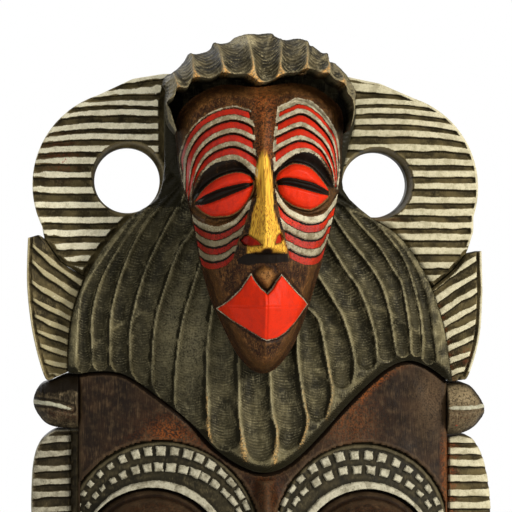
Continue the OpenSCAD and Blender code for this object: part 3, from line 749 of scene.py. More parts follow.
def loop_shape(side):
    left = side == "left"
    out = -1.0 if left else 1.0
    seam = run(SEAM_LEFT if left else SEAM_RIGHT)
    cone = (HOLE_MIDDLE[side][0] + (0.8 if left else 0.5), HOLE_MIDDLE[side][1] + (1.0 if left else 0.3))

    def shape(x, z, s):
        from_rim = in_circle(x, z, LOOP_MIDDLE[side], LOOP_R)
        near_rim = (1 - np.clip(from_rim / 17, 0, 1)) ** 2
        droop = (2.0 if left else 3.6) * near_rim * ease((z - 62) / 22)
        inward = (out * (LOOP_MIDDLE[side][0] - x) + 10) * 0.13 * ease((z - 96) / 14)
        wobble = 0.35 * waver(x, z, 14, 20) + 0.16 * waver(x, z, 3.0, 21)
        v = z + droop - inward + wobble * 0.6
        half = 1.4 + 0.28 * waver(x, z * 3, 8, 22) + 0.12 * waver(x, z, 2.2, 23)
        from_hair = -within(x, z, hair_outline)
        from_hole = -in_circle(x, z, cone, HOLE_R + 1.9)
        ends = least(from_hair - (3.0 if left else 1.2), from_hole - 0.1 + 0.5 * waver(x, z, 3, 24))
        ends = least(ends, distance(x, z, seam) - 2.4)
        land, groove, dark = stripes(v, LOOP_STRIPES[side], 1.0, half, ends)
        edge = np.where((from_hole > 3) & (from_hair > 1) & (distance(x, z, seam) > 4), s, 9.0)
        rim = (0.35 if left else 1.0) - edge + 0.3 * waver(x, z, 4, 25)
        land = most(land, rim)
        groove = groove * np.clip(-land / 0.7, 0, 1)
        bevel = 8.0 * ease(1 - (np.hypot(x - cone[0], z - cone[1]) - HOLE_R) / 1.9)
        depth = BOARD_DEPTH - groove - rounded(s, 0.9) - bevel - 1.6 * ease(1 - from_hair / 3.0)
        depth = depth - 0.8 * near_rim + 0.10 * waver(x * 0.2, z, 0.8, 26) + 0.12 * waver(x, z, 5, 27)
        worn = 0.5 * ease((from_rim - 14) / -14) if left else 0.0
        silver = np.where(from_hole < 0, UNPAINTED, land + 0.12 - worn * (0.5 + waver(x, z, 2.5, 28)))
        pale = 0.8 * hump(from_hole + 0.6, 0.8)
        if left:
            warm = 0.7 * hump(x - LOOP_MIDDLE[side][0] + 33, 9) * hump(z - 72, 9)
            red = 0.1 - np.hypot(x + 96, (v - 69) * 1.6) * 0.12 + 0.5 * waver(x, z, 1.5, 29)
        else:
            warm = 0.8 * hump(x - 58, 9) * hump(z - 38, 4)
            red = UNPAINTED
        return {"depth": depth, "silver": silver, "warm": warm, "dark": dark, "pale": pale,
                "red": least(red, land), "along": z}
    return shape


FIN_DEPTH = 24.0
FIN_LEFT_OUT = [[-104, -39], [-107.5, -38.5], [-112, -24], [-115, -8], [-116.5, 10], [-116, 31]]
FIN_RIGHT_OUT = [[111, 4], [110, -14], [107.5, -27], [103.5, -38.5], [101, -40]]
fin_outline = {
    "left": (run(SEAM_LEFT[::-1]) + hair_left_lower + run(FIN_LEFT_OUT, 6) + [(-111, 32.5)]),
    "right": (hair_right_lower + run(SEAM_RIGHT) + [(110.5, 24.5)] + run(FIN_RIGHT_OUT, 6)),
}


# The heights of the stripes at a fin's outer edge and beside the hair
FIN_STRIPES = {
    "left": ([40, 31.4, 23, 12.4, 3.4, -5.2, -13, -20.8, -28.6, -36.4, -44.2, -52],
             [14.0 - 5.85 * i for i in range(12)]),
    "right": ([30.4 - 8.0 * i for i in range(12)], [11.6 - 6.1 * i for i in range(12)]),
}


def fin_shape(side):
    left = side == "left"
    outer = run(FIN_LEFT_OUT, 6) if left else [(110.5, 24.5)] + run(FIN_RIGHT_OUT, 6)
    inner = hair_left_lower if left else hair_right_lower
    seam = run(SEAM_LEFT if left else SEAM_RIGHT)
    at_outside, at_inside = FIN_STRIPES[side]

    def shape(x, z, s):
        from_out, from_hair, from_seam = (distance(x, z, line) for line in (outer, inner, seam))
        w = from_out / (from_out + from_hair + 1e-6)
        bent = w ** 0.7 if left else w
        heights = [lerp(o, i, bent) for o, i in zip(at_outside, at_inside)]
        v = z + 0.35 * waver(x, z, 5, 30)
        index, pitch = 0.5, 6.0
        for k, (upper, lower) in enumerate(zip(heights[:-1], heights[1:])):
            here = (v <= upper) & (v > lower)
            index = np.where(here, k + (upper - v) / (upper - lower), index)
            pitch = np.where(here, upper - lower, pitch)
        half = lerp(0.4, 1.0, ease(w / 0.4)) if left else lerp(0.85, 1.3, w)
        half = half + 0.15 * waver(x, z, 3, 31)
        ends = least(from_out - (2.5 if left else 2.9), from_hair - 0.7)
        ends = least(ends, from_seam - (1.8 if left else 1.2))
        spacing = pitch * np.where(z > 0, 0.8, 0.9)
        land, groove, dark = stripes(-index, [-i for i in range(12)], spacing, half, ends, 1.8)
        rim = (0.85 if left else 1.0) - from_out + 0.25 * waver(x, z, 5, 32)
        gutter = 2.0 * hump(from_out - (1.9 if left else 2.1), 0.75)
        groove = np.where(from_out < 2.4, gutter, most(groove, gutter * 0.6))
        seam_cut = 1.2 * ease(1 - from_seam / 2.0)
        depth = FIN_DEPTH - groove - rounded(s, 0.7) - seam_cut - 1.0 * ease(1 - from_hair / 1.2)
        depth = depth + 0.10 * waver(x, z, 4, 33)
        silver = most(land + 0.1, np.where((from_seam > 3.0) & (z > -36), rim, UNPAINTED))
        warm = 0.8 * hump(from_hair, 2.2) * ease((2 - z) / 8) + 0.6 * hump(x - 103, 3) * hump(z + 28, 4)
        return {"depth": depth, "silver": silver, "warm": 0.0 if left else warm, "dark": dark,
                "faded": 1.0 if left else 0.0, "along": z}
    return shape


BAND_LEFT = [[-91, -64.4], [-99, -64.6], [-104, -65.4], [-110.5, -71], [-113.5, -80], [-114.5, -93],
             [-114.5, -108], [-112.5, -128], [-108, -147], [-101, -163], [-91, -176]]
BAND_RIGHT = [[93, -69.5], [104, -68.5], [109, -73], [112.5, -81], [115, -93], [116, -108],
              [114.5, -128], [110.5, -147], [103.5, -163], [93, -176]]
BAND_STRIPES = {
    "left": [-62, -69.3, -76.4, -83.8, -90.3, -96.7, -104.3] + [-111.2 - 6.9 * i for i in range(11)],
    "right": [-63, -70, -76, -82, -89.6, -97, -103.2] + [-110.1 - 6.9 * i for i in range(11)],
}
band_outline = {"left": run(BAND_LEFT, 6), "right": run(BAND_RIGHT, 6)[::-1]}


def band_shape(side):
    left = side == "left"
    outer = run(BAND_LEFT if left else BAND_RIGHT, 6)

    def shape(x, z, s):
        from_out = distance(x, z, outer)
        reach = (-95.0 - x) if left else (x - 94.4)
        near_rim = (1 - np.clip(from_out / (9 if left else 5), 0, 1)) ** 2
        tilt = 0.05 * (x + 103) if left else 0.03 * (x - 104) * ease((-78 - z) / -8)
        half = (1.2 if left else 1.5) + (1.1 if left else 0.5) * near_rim + 0.2 * waver(x, z, 3, 41)
        v = z - tilt + 0.25 * waver(x, z, 6, 42)
        ends = reach + 0.2 * waver(x, z, 2, 43)
        ends = least(ends, (-66.5 if left else -69.5) - z + 0.2 * (x + 103 if left else 104 - x))
        land, groove, dark = stripes(v, BAND_STRIPES[side], 1.0, half, ends, 1.9)
        if left:
            land = np.where(from_out < 2.5, most(land, 1.1 - from_out), land)
            groove = groove * np.clip(-land / 0.7, 0, 1)
        depth = BOARD_DEPTH - groove - rounded(s, 0.8) - 2.2 * near_rim - 1.5 * ease(1 - reach / 0.8)
        depth = depth + 0.10 * waver(x * 0.2, z, 0.8, 44) + 0.1 * waver(x, z, 5, 45)
        fade = 0.5 * hump(from_out, 1.6) + 0.1 * near_rim if left else 0.0
        return {"depth": depth, "silver": land + 0.1 - fade, "dark": dark, "along": z,
                "warm": 0.0 if left else 0.9 * hump(x - 95, 3.5)}
    return shape


KNOB_LEFT = [[-91, -36.5], [-97, -37], [-104, -40], [-110.5, -42.5], [-113.4, -50.5], [-110, -58],
             [-104, -62.5], [-91, -64]]
KNOB_RIGHT = [[93, -42], [100, -41.5], [106, -44], [112.3, -54.5], [107.5, -63], [100, -67], [93, -67.5]]
knob_outline = {"left": run(KNOB_LEFT, 8), "right": run(KNOB_RIGHT, 8)[::-1]}
KNOB_LINE = {"left": [(-114, -50.2), (-104, -51.0), (-94.5, -53.4)],
             "right": [(92.0, -53.6), (103, -53.6), (113, -52.8)]}


def knob_shape(side):
    left = side == "left"
    outer = run(KNOB_LEFT if left else KNOB_RIGHT, 8)

    def shape(x, z, s):
        from_out = distance(x, z, outer)
        bulge = 1 - (1 - np.clip(from_out / 12.5, 0, 1)) ** 2.6
        across = distance(x, z, run(KNOB_LINE[side]))
        inner = ease((-93.5 - x) / 5) if left else ease((x - 92) / 4)
        stripe = lerp(0.3, 0.95, inner) - across + 0.2 * waver(x, z, 2, 50)
        depth = 22 + 9.5 * bulge - 0.9 * hump(across - 1.9, 0.7) + 0.35 * ease(stripe / 0.4)
        depth = depth + 0.22 * waver(x, z * 0.35, 1.0, 51) - rounded(s, 0.6)
        warm = 0.6 * ease((-50 - z) / 6) * ease((from_out - 2) / 5)
        made = {"depth": depth, "silver": stripe, "warm": warm, "faded": 0.6, "along": z}
        if left:
            dark_patch = 0.3 * (z + 47) - 0.6 + 0.5 * waver(x, z, 2.5, 53)
            made["dark"] = np.where(z > -47, dark_patch, UNPAINTED)
        else:
            made["red"] = -0.1 - np.hypot(x - 96.5, (z + 62.5) * 1.6) * 0.3 + 0.5 * waver(x, z, 1.2, 52)
            made["pale"] = lerp(0.3, 0.8, ease((z + 57) / 8)) * ease((from_out - 0.4) / 2.5)
        return made
    return shape


# ---------------------------------------------------------------------------------------------
# Large face, brow arches and closed eyes. The arches and eyes are larger than in CAD.

FACE_CENTRE = (1.0, -160.0)
FACE_HALF_W = 92.0
FACE_EDGE_DEPTH, NOSE_RISE = 26.0, 30.0
NOSE_TOP, NOSE_TIP, MOUTH_Z = -88.0, -186.0, -230.0
# Circles as (centre, radius), and the angle of the first square of a row with the step to the next
ARCHES = {
    "left": {"outer": ((-49.6, -117.5), 48.4), "first": ((-49.6, -119.5), 45.4),
             "second": ((-49.6, -126.4), 44.5), "rim": ((-52.6, -125.9), 37.3),
             "inner": ((-54.1, -128.8), 36.9), "first_turn": (157.0, 8.27), "second_turn": (145.7, 7.63)},
    "right": {"outer": ((49.5, -115.2), 44.5), "first": ((48.0, -120.2), 43.7),
              "second": ((48.0, -126.4), 42.8), "rim": ((49.8, -125.8), 36.3),
              "inner": ((50.9, -128.3), 35.3), "first_turn": (150.6, 9.5), "second_turn": (148.8, 9.45)},
}
ARCH_BOTTOM = -129.0
EYE_FLATNESS = 1.75


def face_dome(x, z):
    swell = np.where(z > -60, lerp(8, 5, ease((z + 60) / 30)),
                     np.where(z > -120, lerp(24, 8, ease((z + 120) / 60)),
                              np.where(z > -220, lerp(33, 24, ease((z + 220) / 100)),
                                       lerp(14, 33, ease((z + 303) / 83)))))
    u = least(1.0, np.abs(x - FACE_CENTRE[0]) / FACE_HALF_W)
    return FACE_EDGE_DEPTH + swell * (1 - u * u) ** 0.8


def pocket_floor(x, z):
    return 28.0 - 0.27 * (np.abs(x) - 49.0)


def from_face_sides(x, gap):
    return least(x - FACE_LEFT - gap, FACE_RIGHT - gap - x)


def below_arch(x, z, side):
    """Distance inside the flattened half circle under an arch, where the eye's lower half is."""
    (middle, _), radius = ARCHES[side]["inner"]
    return in_circle(x, (z - ARCH_BOTTOM) * EYE_FLATNESS + ARCH_BOTTOM, (middle, ARCH_BOTTOM), radius)


def arch_area(x, z, side):
    """Distance inside the sunk area that holds one brow arch and its eye."""
    top = least(in_circle(x, z, *ARCHES[side]["outer"]), z - ARCH_BOTTOM + 60)
    return least(np.where(z > ARCH_BOTTOM, top, below_arch(x, z, side)), from_face_sides(x, 0.9))


def eye_area(x, z, side):
    inner = ARCHES[side]["inner"]
    area = np.where(z > inner[0][1], in_circle(x, z, *inner), below_arch(x, z, side))
    return least(area, from_face_sides(x, 1.6))


def arch_band_area(x, z, side):
    ring = least(in_circle(x, z, *ARCHES[side]["outer"]), -in_circle(x, z, *ARCHES[side]["inner"]))
    return least(least(ring, z - ARCH_BOTTOM), from_face_sides(x, 0.9))


def face_shape(x, z, s):
    # Nose and mouth
    t = (NOSE_TOP - z) / (NOSE_TOP - NOSE_TIP)
    half_w = lerp(6, 20, np.clip(t, 0, 1))
    side = ease(1 - np.abs(x - FACE_CENTRE[0]) / half_w)
    rise = np.where(t <= 1, lerp(4, NOSE_RISE, t), NOSE_RISE * most(0, 1 - (t - 1) * 8))
    nose = np.where(t < 0, 0, side * rise)
    from_mouth_line = z - MOUTH_Z + 1.5 * np.cos(x / 8)
    reach = np.abs(x - FACE_CENTRE[0]) / 34 + np.abs(from_mouth_line) / 22
    mouth = 13 * most(0, 1 - reach)
    part = 1.6 * hump(from_mouth_line, 1.1) * (reach < 1.0)
    ridge = 1.3 * hump(x - 1.5, 5.0) * ease((-80 - z) / 8) * ease((z + 108) / 14)
    from_hair = distance(x, z, hairline)
    depth = face_dome(x, z) + nose + mouth - part + ridge - rounded(s, 2.2)
    depth = depth - 1.2 * ease(1 - from_hair / 3.0)
    depth = depth + 0.25 * waver(x, z * 0.6, 7, 60) + 0.05 * waver(x * 3, z * 0.3, 1.2, 61)
    hollows = most(arch_area(x, z, "left"), arch_area(x, z, "right"))
    depth = np.where(hollows > 0, least(depth, pocket_floor(x, z) - 0.4), depth)
    # Rubbed and warm-coloured patches and a painted sheen, those of the upper half by their places
    high = ease((z + 150) / 30)
    warm = high * (0.45 * hump(x + 47, 8) * hump(z + 65, 6) + 0.1 * hump(x + 42, 18) * hump(z + 64, 12)
                   + 0.15 * hump(hollows + 3, 3) * hump(x + 40, 25)
                   + 0.6 * ease((x - 88) / 4) * ease((-60 - z) / 16)
                   + 0.9 * hump(from_hair - 2.0, 2.0) * hump(x - 55, 12)
                   + 0.3 * hump(x - 44, 12) * hump(z + 60, 12)
                   + 0.2 * hump(x - 2, 8) * hump(z + 94, 14))
    # pale: a painted sheen near the right edge of the face, and a pale patch further in
    pale = 0.6 * hump(x - 84, 8) * hump(z + 50, 16) * high + 0.25 * hump(x - 44, 12) * hump(z + 62, 10)
    warm = warm + (1 - high) * (0.6 * side * ease(t * 2) + 0.6 * ease(mouth / 6) + 0.25)
    nostrils = least(2.6 - np.abs(np.abs(x - FACE_CENTRE[0]) - 9.5),
                          3.0 - np.abs(z + 184 + 0.2 * np.abs(x)))
    lips = 0.98 - reach
    # Painted shade in the groove under the hairline; the nostrils are dark paint
    dark = most(np.where(from_hair < 2.6, 1.3 - from_hair * 0.6, UNPAINTED), nostrils)
    return {"depth": depth, "warm": np.clip(warm, 0, 1), "dark": dark, "along": z, "pale": pale,
            "red": np.where(lips > -0.2, lips * 18, UNPAINTED)}


HOLLOW_HALF_W, HOLLOW_UP, HOLLOW_DOWN = 75.0, 54.0, 116.0


def face_back(x, z):
    """The hollow that the face is thinned by from behind, with its tool cuts."""
    dx, dz = x - FACE_CENTRE[0], z - FACE_CENTRE[1]
    half_h = np.where(dz > 0, HOLLOW_UP, HOLLOW_DOWN)
    r = (np.abs(dx / HOLLOW_HALF_W) ** 2.6 + np.abs(dz / half_h) ** 2.6) ** (1 / 2.6)
    deepest = 12 + 0.25 * (84 - np.abs(dx))
    profile = np.interp(r, [0.7, 0.85, 0.95, 1.0], [1.0, 0.8, 0.45, 0.0])
    tool_cuts = adze(x, z, 8, 1.2, 62) * ease((1.0 - r) / 0.12)
    return deepest * profile - tool_cuts + 0.4 * adze(x, z, 9, 1.0, 63)


def arch_shape(side):
    a = ARCHES[side]

    def squares(x, z, ring, turn, half_across):
        (cx, cz), r = a[ring]
        angle = np.degrees(np.arctan2(z - cz, x - cx))
        first, step = a[turn]
        k = np.round((first - angle) / step)
        size = 1 + 0.16 * (hashed(k, 0, 70) - 0.5)
        off = np.radians(first - k * step - angle + 1.2 * (hashed(k, 3, 71) - 0.5)) * r
        radial = np.hypot(x - cx, z - cz) - r + 0.4 * (hashed(k, 0, 72) - 0.5)
        shrink = lerp(0.62, 1.0, ease((46 - np.abs(np.abs(x) - 46)) / 14 - 1.1))
        half_along = (lerp(1.4, 2.35, ease((x + 88) / 60)) if side == "left" else 2.05) * size
        return least(half_along - np.abs(off), half_across * size * shrink - np.abs(radial)), off

    def shape(x, z, s):
        first, off = squares(x, z, "first", "first_turn", 2.0)
        second, _ = squares(x, z, "second", "second_turn", 1.85)
        block = most(first, second) + 0.28 * waver(x, z, 2.1, 75)
        rim = least(in_circle(x, z, *a["rim"]), -in_circle(x, z, *a["inner"]) + 0.3)
        rim = rim + 0.2 * waver(x, z, 3, 73)
        from_out = in_circle(x, z, *a["outer"])
        depth = face_dome(x, z) - 1.6 - 1.2 * hump(from_out, 0.8)
        depth = depth + 1.5 * ease(block / 0.7 + 0.35) + 1.8 * ease(rim / 0.7 + 0.3)
        depth = depth + 0.5 * ease((from_out - 0.6) / 0.8) * ease((3.2 - from_out) / 1.2)
        depth = depth + 0.10 * waver(x, z, 1.2, 74) + 0.025 * off * (first > 0)
        dark = np.where((block > -0.55) & (block < -0.05), -0.05, UNPAINTED)
        return {"depth": depth, "silver": most(block + 0.08, rim), "dark": dark, "along": z}
    return shape


def eye_shape(side):
    a = ARCHES[side]
    centre = a["inner"][0]

    def shape(x, z, s):
        reach = np.clip(1 - s / 17.0, 0, 1)
        lid = lerp(9.0, -4.5, reach ** 2.2)
        slit = z - (-134 + 5.0 * np.cos((x - centre[0]) / 20))
        fold = -1.1 * hump(s - 4.2, 0.8) * ease((z + 122) / 6)
        depth = face_dome(x, z) - 1 + lid - 2.6 * hump(slit, 1.0) * ease(s / 3) + fold
        depth = depth + 0.12 * waver(x, z, 3, 80)
        dark = most(1.0 - np.abs(slit), np.where(s < 2.5, 1.6 - s, UNPAINTED))
        warm = 0.25 * hump(s - 9, 5) * ease((z + 126) / 8)
        return {"depth": depth, "dark": dark, "warm": warm, "along": z}
    return shape


# ---------------------------------------------------------------------------------------------
# Small mask

SMALL_EDGE = 46.0
small_outline = run(SMALL_OUTLINE, 4, closed=True)

# Of each brow, the outer and inner edge of its stripes, where they end beside the nose, and how
# many stripes there are with the part of a stripe that the first one starts at
BROWS = {
    "left": {
        "outer": [[-38, 47.5], [-40, 57], [-41.5, 67], [-41, 72], [-38.5, 79], [-34, 85], [-28, 89.5],
                  [-22, 92], [-16.5, 93], [-11, 92], [-6.5, 90], [-3.5, 88]],
        "inner": [[-36, 46], [-36, 50.5], [-34, 55.5], [-32.5, 59], [-31, 61.5], [-27.5, 65], [-23, 67],
                  [-16.5, 68], [-12.5, 66.5], [-8.5, 63], [-5.5, 59.5], [-3, 55]],
        "end": [[-8, 94], [-7.5, 85.5], [-6.5, 81], [-6.5, 76.5], [-6, 70.5], [-4.7, 67], [-4.5, 55]],
        "stripes": (4.0, 0.0)},
    "right": {
        "outer": [[35, 54.5], [36, 63], [36, 69], [35.5, 74], [33.5, 80], [30.5, 85], [26.5, 90.5],
                  [21.5, 95], [17.5, 96.5], [13.5, 97], [10, 95], [5.5, 93], [2.5, 91]],
        "inner": [[33, 54.5], [31.5, 58.5], [28.5, 64], [24.5, 69], [20, 71.5], [15.5, 71.5],
                  [10, 69], [3.5, 63], [1, 60.5]],
        "end": [[5.5, 98], [4.5, 89], [3.5, 81.5], [3, 77.5], [2.5, 70], [3, 60]],
        "stripes": (4.1, -0.1)},
}
EYES = {
    "left": {
        "lid_top": [[-34, 48.5], [-30, 54], [-25, 58], [-19.5, 60.5], [-14, 61.5], [-9, 60], [-7, 57.5]],
        "slit_top": [[-34, 48], [-29.5, 51], [-22.5, 54], [-16.5, 55.5], [-11.5, 56.5], [-7.5, 56.5]],
        "slit_low": [[-34, 46.5], [-29.5, 46.5], [-22.5, 49], [-16.5, 51.5], [-10.5, 54], [-7.5, 55.5]],
        "lid_low": [[-33.5, 46], [-30.5, 43], [-26.5, 41], [-22.5, 41], [-18, 41.5], [-13.5, 44], [-10, 48],
                    [-7.5, 52.5], [-7, 55.5]]},
    "right": {
        "lid_top": [[4, 57.5], [4.5, 60.5], [7, 63], [11.5, 65.5], [15.5, 65.5], [20, 64], [24, 60.5],
                    [26.5, 57.5], [29.5, 53.5]],
        "slit_top": [[4, 57.5], [7, 59], [11.5, 59], [16.5, 58], [22.5, 56.5], [29.5, 53]],
        "slit_low": [[5, 55.5], [8, 55.5], [13.5, 54.5], [19.5, 53], [25.5, 51.5], [29.5, 51]],
        "lid_low": [[4.5, 55.5], [5.5, 52], [8, 49], [12.5, 46], [18, 44.5], [21, 44.5], [25, 46.5],
                    [28.5, 49.5], [29.5, 51]]},
}
CHEEKS = {
    "left": {
        "top": [[-37, 45.5], [-36, 43.5], [-32.5, 39], [-26.5, 36.5], [-22.5, 36.5], [-16.5, 39],
                [-13, 42.5], [-10, 47], [-8, 49]],
        "bottom": [[-33.5, 21.5], [-30, 17], [-27, 15.5], [-23, 16], [-19.5, 17.5], [-16.5, 20.5]],
        "end": [[-8, 51], [-8, 49.5], [-9.5, 42.5], [-11, 37.5], [-13.5, 31], [-15.5, 25], [-17, 18]],
        "groove": (0.41, 0.58)},
    "right": {
        "top": [[3.5, 54], [6, 49.5], [9.5, 45], [14, 42.5], [18, 41], [22.5, 41], [27, 42.5], [30.5, 46],
                [33.5, 49.5], [35, 52]],
        "bottom": [[10.5, 21], [14, 19], [19.5, 17.5], [25.5, 18.5], [28.5, 22], [30, 26]],
        "end": [[3.5, 55], [5, 44.5], [6.5, 38.5], [8, 32.5], [9.5, 25.5], [11, 18]],
        "groove": (0.42, 0.56)},
}
# The nose's sides, the nostrils, the shadow below them, the lips and the drop above the lips
NOSE_LEFT = [[-4.5, 94], [-5.5, 68], [-4.5, 51], [-6.5, 42], [-8, 33.5], [-9, 25.5]]
NOSE_RIGHT = [[1, 90], [1, 64], [1.5, 55.5], [2, 44], [4, 37], [8, 25.5]]
NOSTRILS = ([(-13, 29.5), (-11, 31.5), (-9, 32), (-5.5, 29.5), (-3.5, 27), (-8.5, 26.5), (-11.5, 27.5)],
            [(2.5, 28.5), (4, 31.5), (6, 33), (7, 30), (6, 28), (2.5, 27.5)])
NOSE_SHADOW = [(-15, 20), (-11.5, 22.5), (-6, 24), (9, 23.5), (10, 19.5), (3, 18.5), (-5, 18.5), (-9, 17.5),
               (-14, 18.5)]
LIPS = [(-8, 13.5), (-13, 6), (-17.5, 1.5), (-20.5, -1), (-23.5, -3.5), (-17, -8.5), (-12, -11.5),
        (-7, -14.5), (-3, -17), (-0.5, -18), (4.5, -17), (8.5, -14.5), (13.5, -9.5), (17.5, -4.5),
        (20.5, -1.5), (18.5, 0.5), (14.5, 4), (9.5, 9.5), (6.5, 13), (4, 10), (2, 6.5), (-0.5, 4),
        (-3.5, 6.5), (-6.5, 10.5)]
PHILTRUM = [(-1.5, 18), (-5.5, 16.5), (-7.5, 13.5), (-5.5, 10), (-3, 7), (-0.5, 5), (2, 7), (4, 11),
            (4.5, 13), (3, 16.5)]
LIP_CREASE_X, LIP_CREASE_Z = -0.7, -2.0


def small_shape(x, z, s):
    reach = 1 - np.clip(s / 40.0, 0, 1)
    fall = lerp(1.0, 0.4, ease((z - 72) / 22))
    depth = 83 - fall * (13 * reach ** 3 + 15 * ease((reach - 0.82) / 0.18) ** 1.6)
    depth = depth - 4.0 * ease((z - 76) / 26)
    silver = red = dark = UNPAINTED
    pale = 0.0

    for side, out in (("left", -1), ("right", 1)):
        # Brow: bands of groove, red and silver from its outer to its inner edge
        b = BROWS[side]
        outer, inner = run(b["outer"]), run(b["inner"])
        area = within(x, z, outer + inner[::-1])
        from_outer = distance(x, z, outer)
        width = from_outer + distance(x, z, inner)
        number, start = b["stripes"]
        q = blurred(number * from_outer / width + start, 4)
        unit = width / number
        part = np.mod(q, 1.0)
        end = across_line(x, z, b["end"]) * out
        open_part = least(area, end)
        red_in = least(part - 0.17, 0.61 - part) * unit
        silver_in = least(part - 0.62, 1.0 - part) * unit
        if side == "left":
            outer_end = ease((z - 56) / 12)
            red_in = np.where(q < 1, least(q - 0.04, 0.55 - q) * unit, red_in)
        else:
            outer_end = ease((z - 60) / 12)
            silver_in = np.where(q < 0.33, least(q + 0.1, 0.29 - q) * unit, silver_in)
            red_in = np.where(q < 0.33, UNPAINTED, red_in)
            hook = least((part - 0.3) * unit, 1.1 - end)
            silver_in = most(silver_in, np.where(area > -0.3, hook, UNPAINTED))
        strokes = waver(x * 3.0, z, 1.5, 90)
        red = most(red, least(red_in + 0.12, open_part - 1.0, 1.6) - 0.14 * strokes)
        silver_in = least(silver_in + 0.1, open_part + 0.35, 1.6)
        silver_in = silver_in + 0.16 * waver(x, z, 2.2, 90) + 0.16 * strokes - (1 - outer_end) * 0.2
        edging = 0.3 - from_outer + 0.3 * waver(x, z, 1.3, 93) - 3 * (end < 0)
        silver = most(silver, silver_in, edging)
        facet = np.interp(part, [0.0, 0.06, 0.14, 0.2, 0.6, 0.66, 0.94, 1.0],
                          [-0.5, -1.9, -1.9, -1.0, -0.15, 0.35, 0.25, -0.3])
        depth = depth + facet * ease(open_part / 0.8) * (area > 0)
        groove = least(0.13 - part, part + 0.02) * unit
        dark = most(dark, np.where((area > 0) & (end > 0), groove, UNPAINTED))

        # Eye: two red lids with a dark slit between them, in a sunk and darkened socket
        e = EYES[side]
        c = CHEEKS[side]
        to_top, to_bottom = -above_line(x, z, c["top"]), above_line(x, z, c["bottom"])
        whole = between(x, z, e["lid_top"], e["lid_low"])
        upper = between(x, z, e["lid_top"], e["slit_top"])
        slit = between(x, z, e["slit_top"], e["slit_low"])
        lower = between(x, z, e["slit_low"], e["lid_low"])
        above_eye = ease(above_line(x, z, e["slit_top"]) / 3.0)
        socket = least(-whole, -area, end + 1.0, -to_top, -above_line(x, z, b["inner"]))
        depth = depth - 3.2 * ease(socket / 1.8) * ease((6.5 - most(-whole, 0)) / 5)
        depth = depth + 1.6 * ease(whole / 3.5) - 1.4 * hump(whole, 0.6)
        depth = depth - 1.6 * hump(slit - 0.4, 0.9) * (slit > -1)
        red = most(red, least(most(upper, lower) - 0.05, 2.0))
        # The upper part of the sunk socket, above the slit, is darkened
        dark_patch = above_eye * 0.5 - 0.25 + 0.25 * waver(x, z, 1.5, 91)
        dark = most(dark, slit + 0.1, np.where((socket > 0.1) & (above_eye > 0), dark_patch, UNPAINTED),
                    np.where(whole < 0, 0.15 - np.abs(whole + 0.9) * 0.8, UNPAINTED))
        pale = pale + np.where(whole < 0, 0.7 * hump(whole + 0.25, 0.35), 0)
        pale = pale + 0.4 * hump(socket - 2.5, 1.2) * (1 - above_eye) * (socket > 0)

        # Cheek: three bands of silver, groove and red below the eye
        width = most(to_top + to_bottom, 2.0)
        q = 3.0 * to_top / width
        unit = width / 3.0
        part = np.mod(q, 1.0)
        cheek = least(across_line(x, z, c["end"]) * out, s - 0.4, to_top, to_bottom + 0.6)
        first, last = c["groove"]
        silver_in = np.where(q < 3, least(part, first - part) * unit + 0.1, UNPAINTED)
        red_in = np.where(q < 3, least(part - last, 0.98 - part) * unit, UNPAINTED)
        silver = most(silver, least(silver_in, cheek + 0.3, 1.5) + 0.15 * waver(x, z, 2, 92))
        red = most(red, least(red_in, cheek, 0.1))
        groove = least(part - first, last - part) * unit + 0.05
        dark = most(dark, np.where(cheek > 0, groove, UNPAINTED))
        facet = np.interp(part, [0.0, 0.06, 0.36, 0.46, 0.54, 0.94, 1.0],
                          [-0.4, 0.35, 0.25, -1.3, -1.3, -0.5, -0.4])
        depth = depth + facet * ease(cheek / 0.8)

    # Nose: gold, with red nostrils and a dark shadow under it
    nose = least(across_line(x, z, NOSE_LEFT), -across_line(x, z, NOSE_RIGHT))
    inside = ease((nose + 1.0) / lerp(3.2, 7.0, ease((94 - z) / 50)))
    rise = lerp(1.0, 16.0, ease((88 - z) / 66)) * ease((z - 22.5) / 3.5)
    depth = depth + rise * inside * ease((100 - z) / 14) + 2.2 * hump(x + 1.5, 5.0) * hump(z - 30, 6)
    gold = np.where(z > 23.0, least(nose + 0.9, 2.5) - 6.5 * ease((z - 58) / 30), UNPAINTED)
    for hole in NOSTRILS:
        pit = within(x, z, hole)
        depth = depth - 2.5 * ease(pit / 1.2 + 0.4)
        dark = most(dark, 0.45 - np.abs(pit + 0.1))
        red = most(red, least(pit - 0.25, 1.0))
        gold = least(gold, -pit)
    under = within(x, z, NOSE_SHADOW)
    arch = 3.0 - np.hypot(x + 1.0, (z - 23.0) * 1.1)
    dark = most(dark, under, arch)
    gold = least(gold, np.where(z < 26, -under, 9), -arch)

    # Lips: a low pyramid with a pale edge, two creases and a painted shadow below, and the drop above them
    lips = within(x, z, LIPS)
    up = z - LIP_CREASE_Z
    from_crease = np.abs(x - LIP_CREASE_X) / 23 + np.where(up > 0, up / 23, -up / 16.5)
    pyramid = (8.5 * np.clip(1 - from_crease, 0, 1) + 0.9) * ease(lips / 0.8 + 0.3)
    cleft = 0.7 * hump(x - LIP_CREASE_X, 0.5) + 0.7 * hump(up, 0.45)
    depth = depth + pyramid - cleft * (lips > 0) - 0.6 * hump(lips + 0.8, 0.8) * (lips < 0)
    red = most(red, least(lips - 0.2, 2.5))
    silver = most(silver, 0.3 - np.abs(lips + 0.02) * 1.3 - 0.2 * ease((-4 - z) / 6) * ease(np.abs(x) / 6))
    # Painted shadow below the lower lip
    dark = most(dark, np.where((lips < 0) & (z < -3), 0.12 - np.abs(lips + 0.8) * 0.6, UNPAINTED))
    drop = within(x, z, PHILTRUM)
    depth = depth + 2.6 * ease(drop / 3.5) - 0.35 * hump(drop + 0.5, 0.7)
    pale = pale + 0.9 * ease((drop - 0.5) / 2.5)

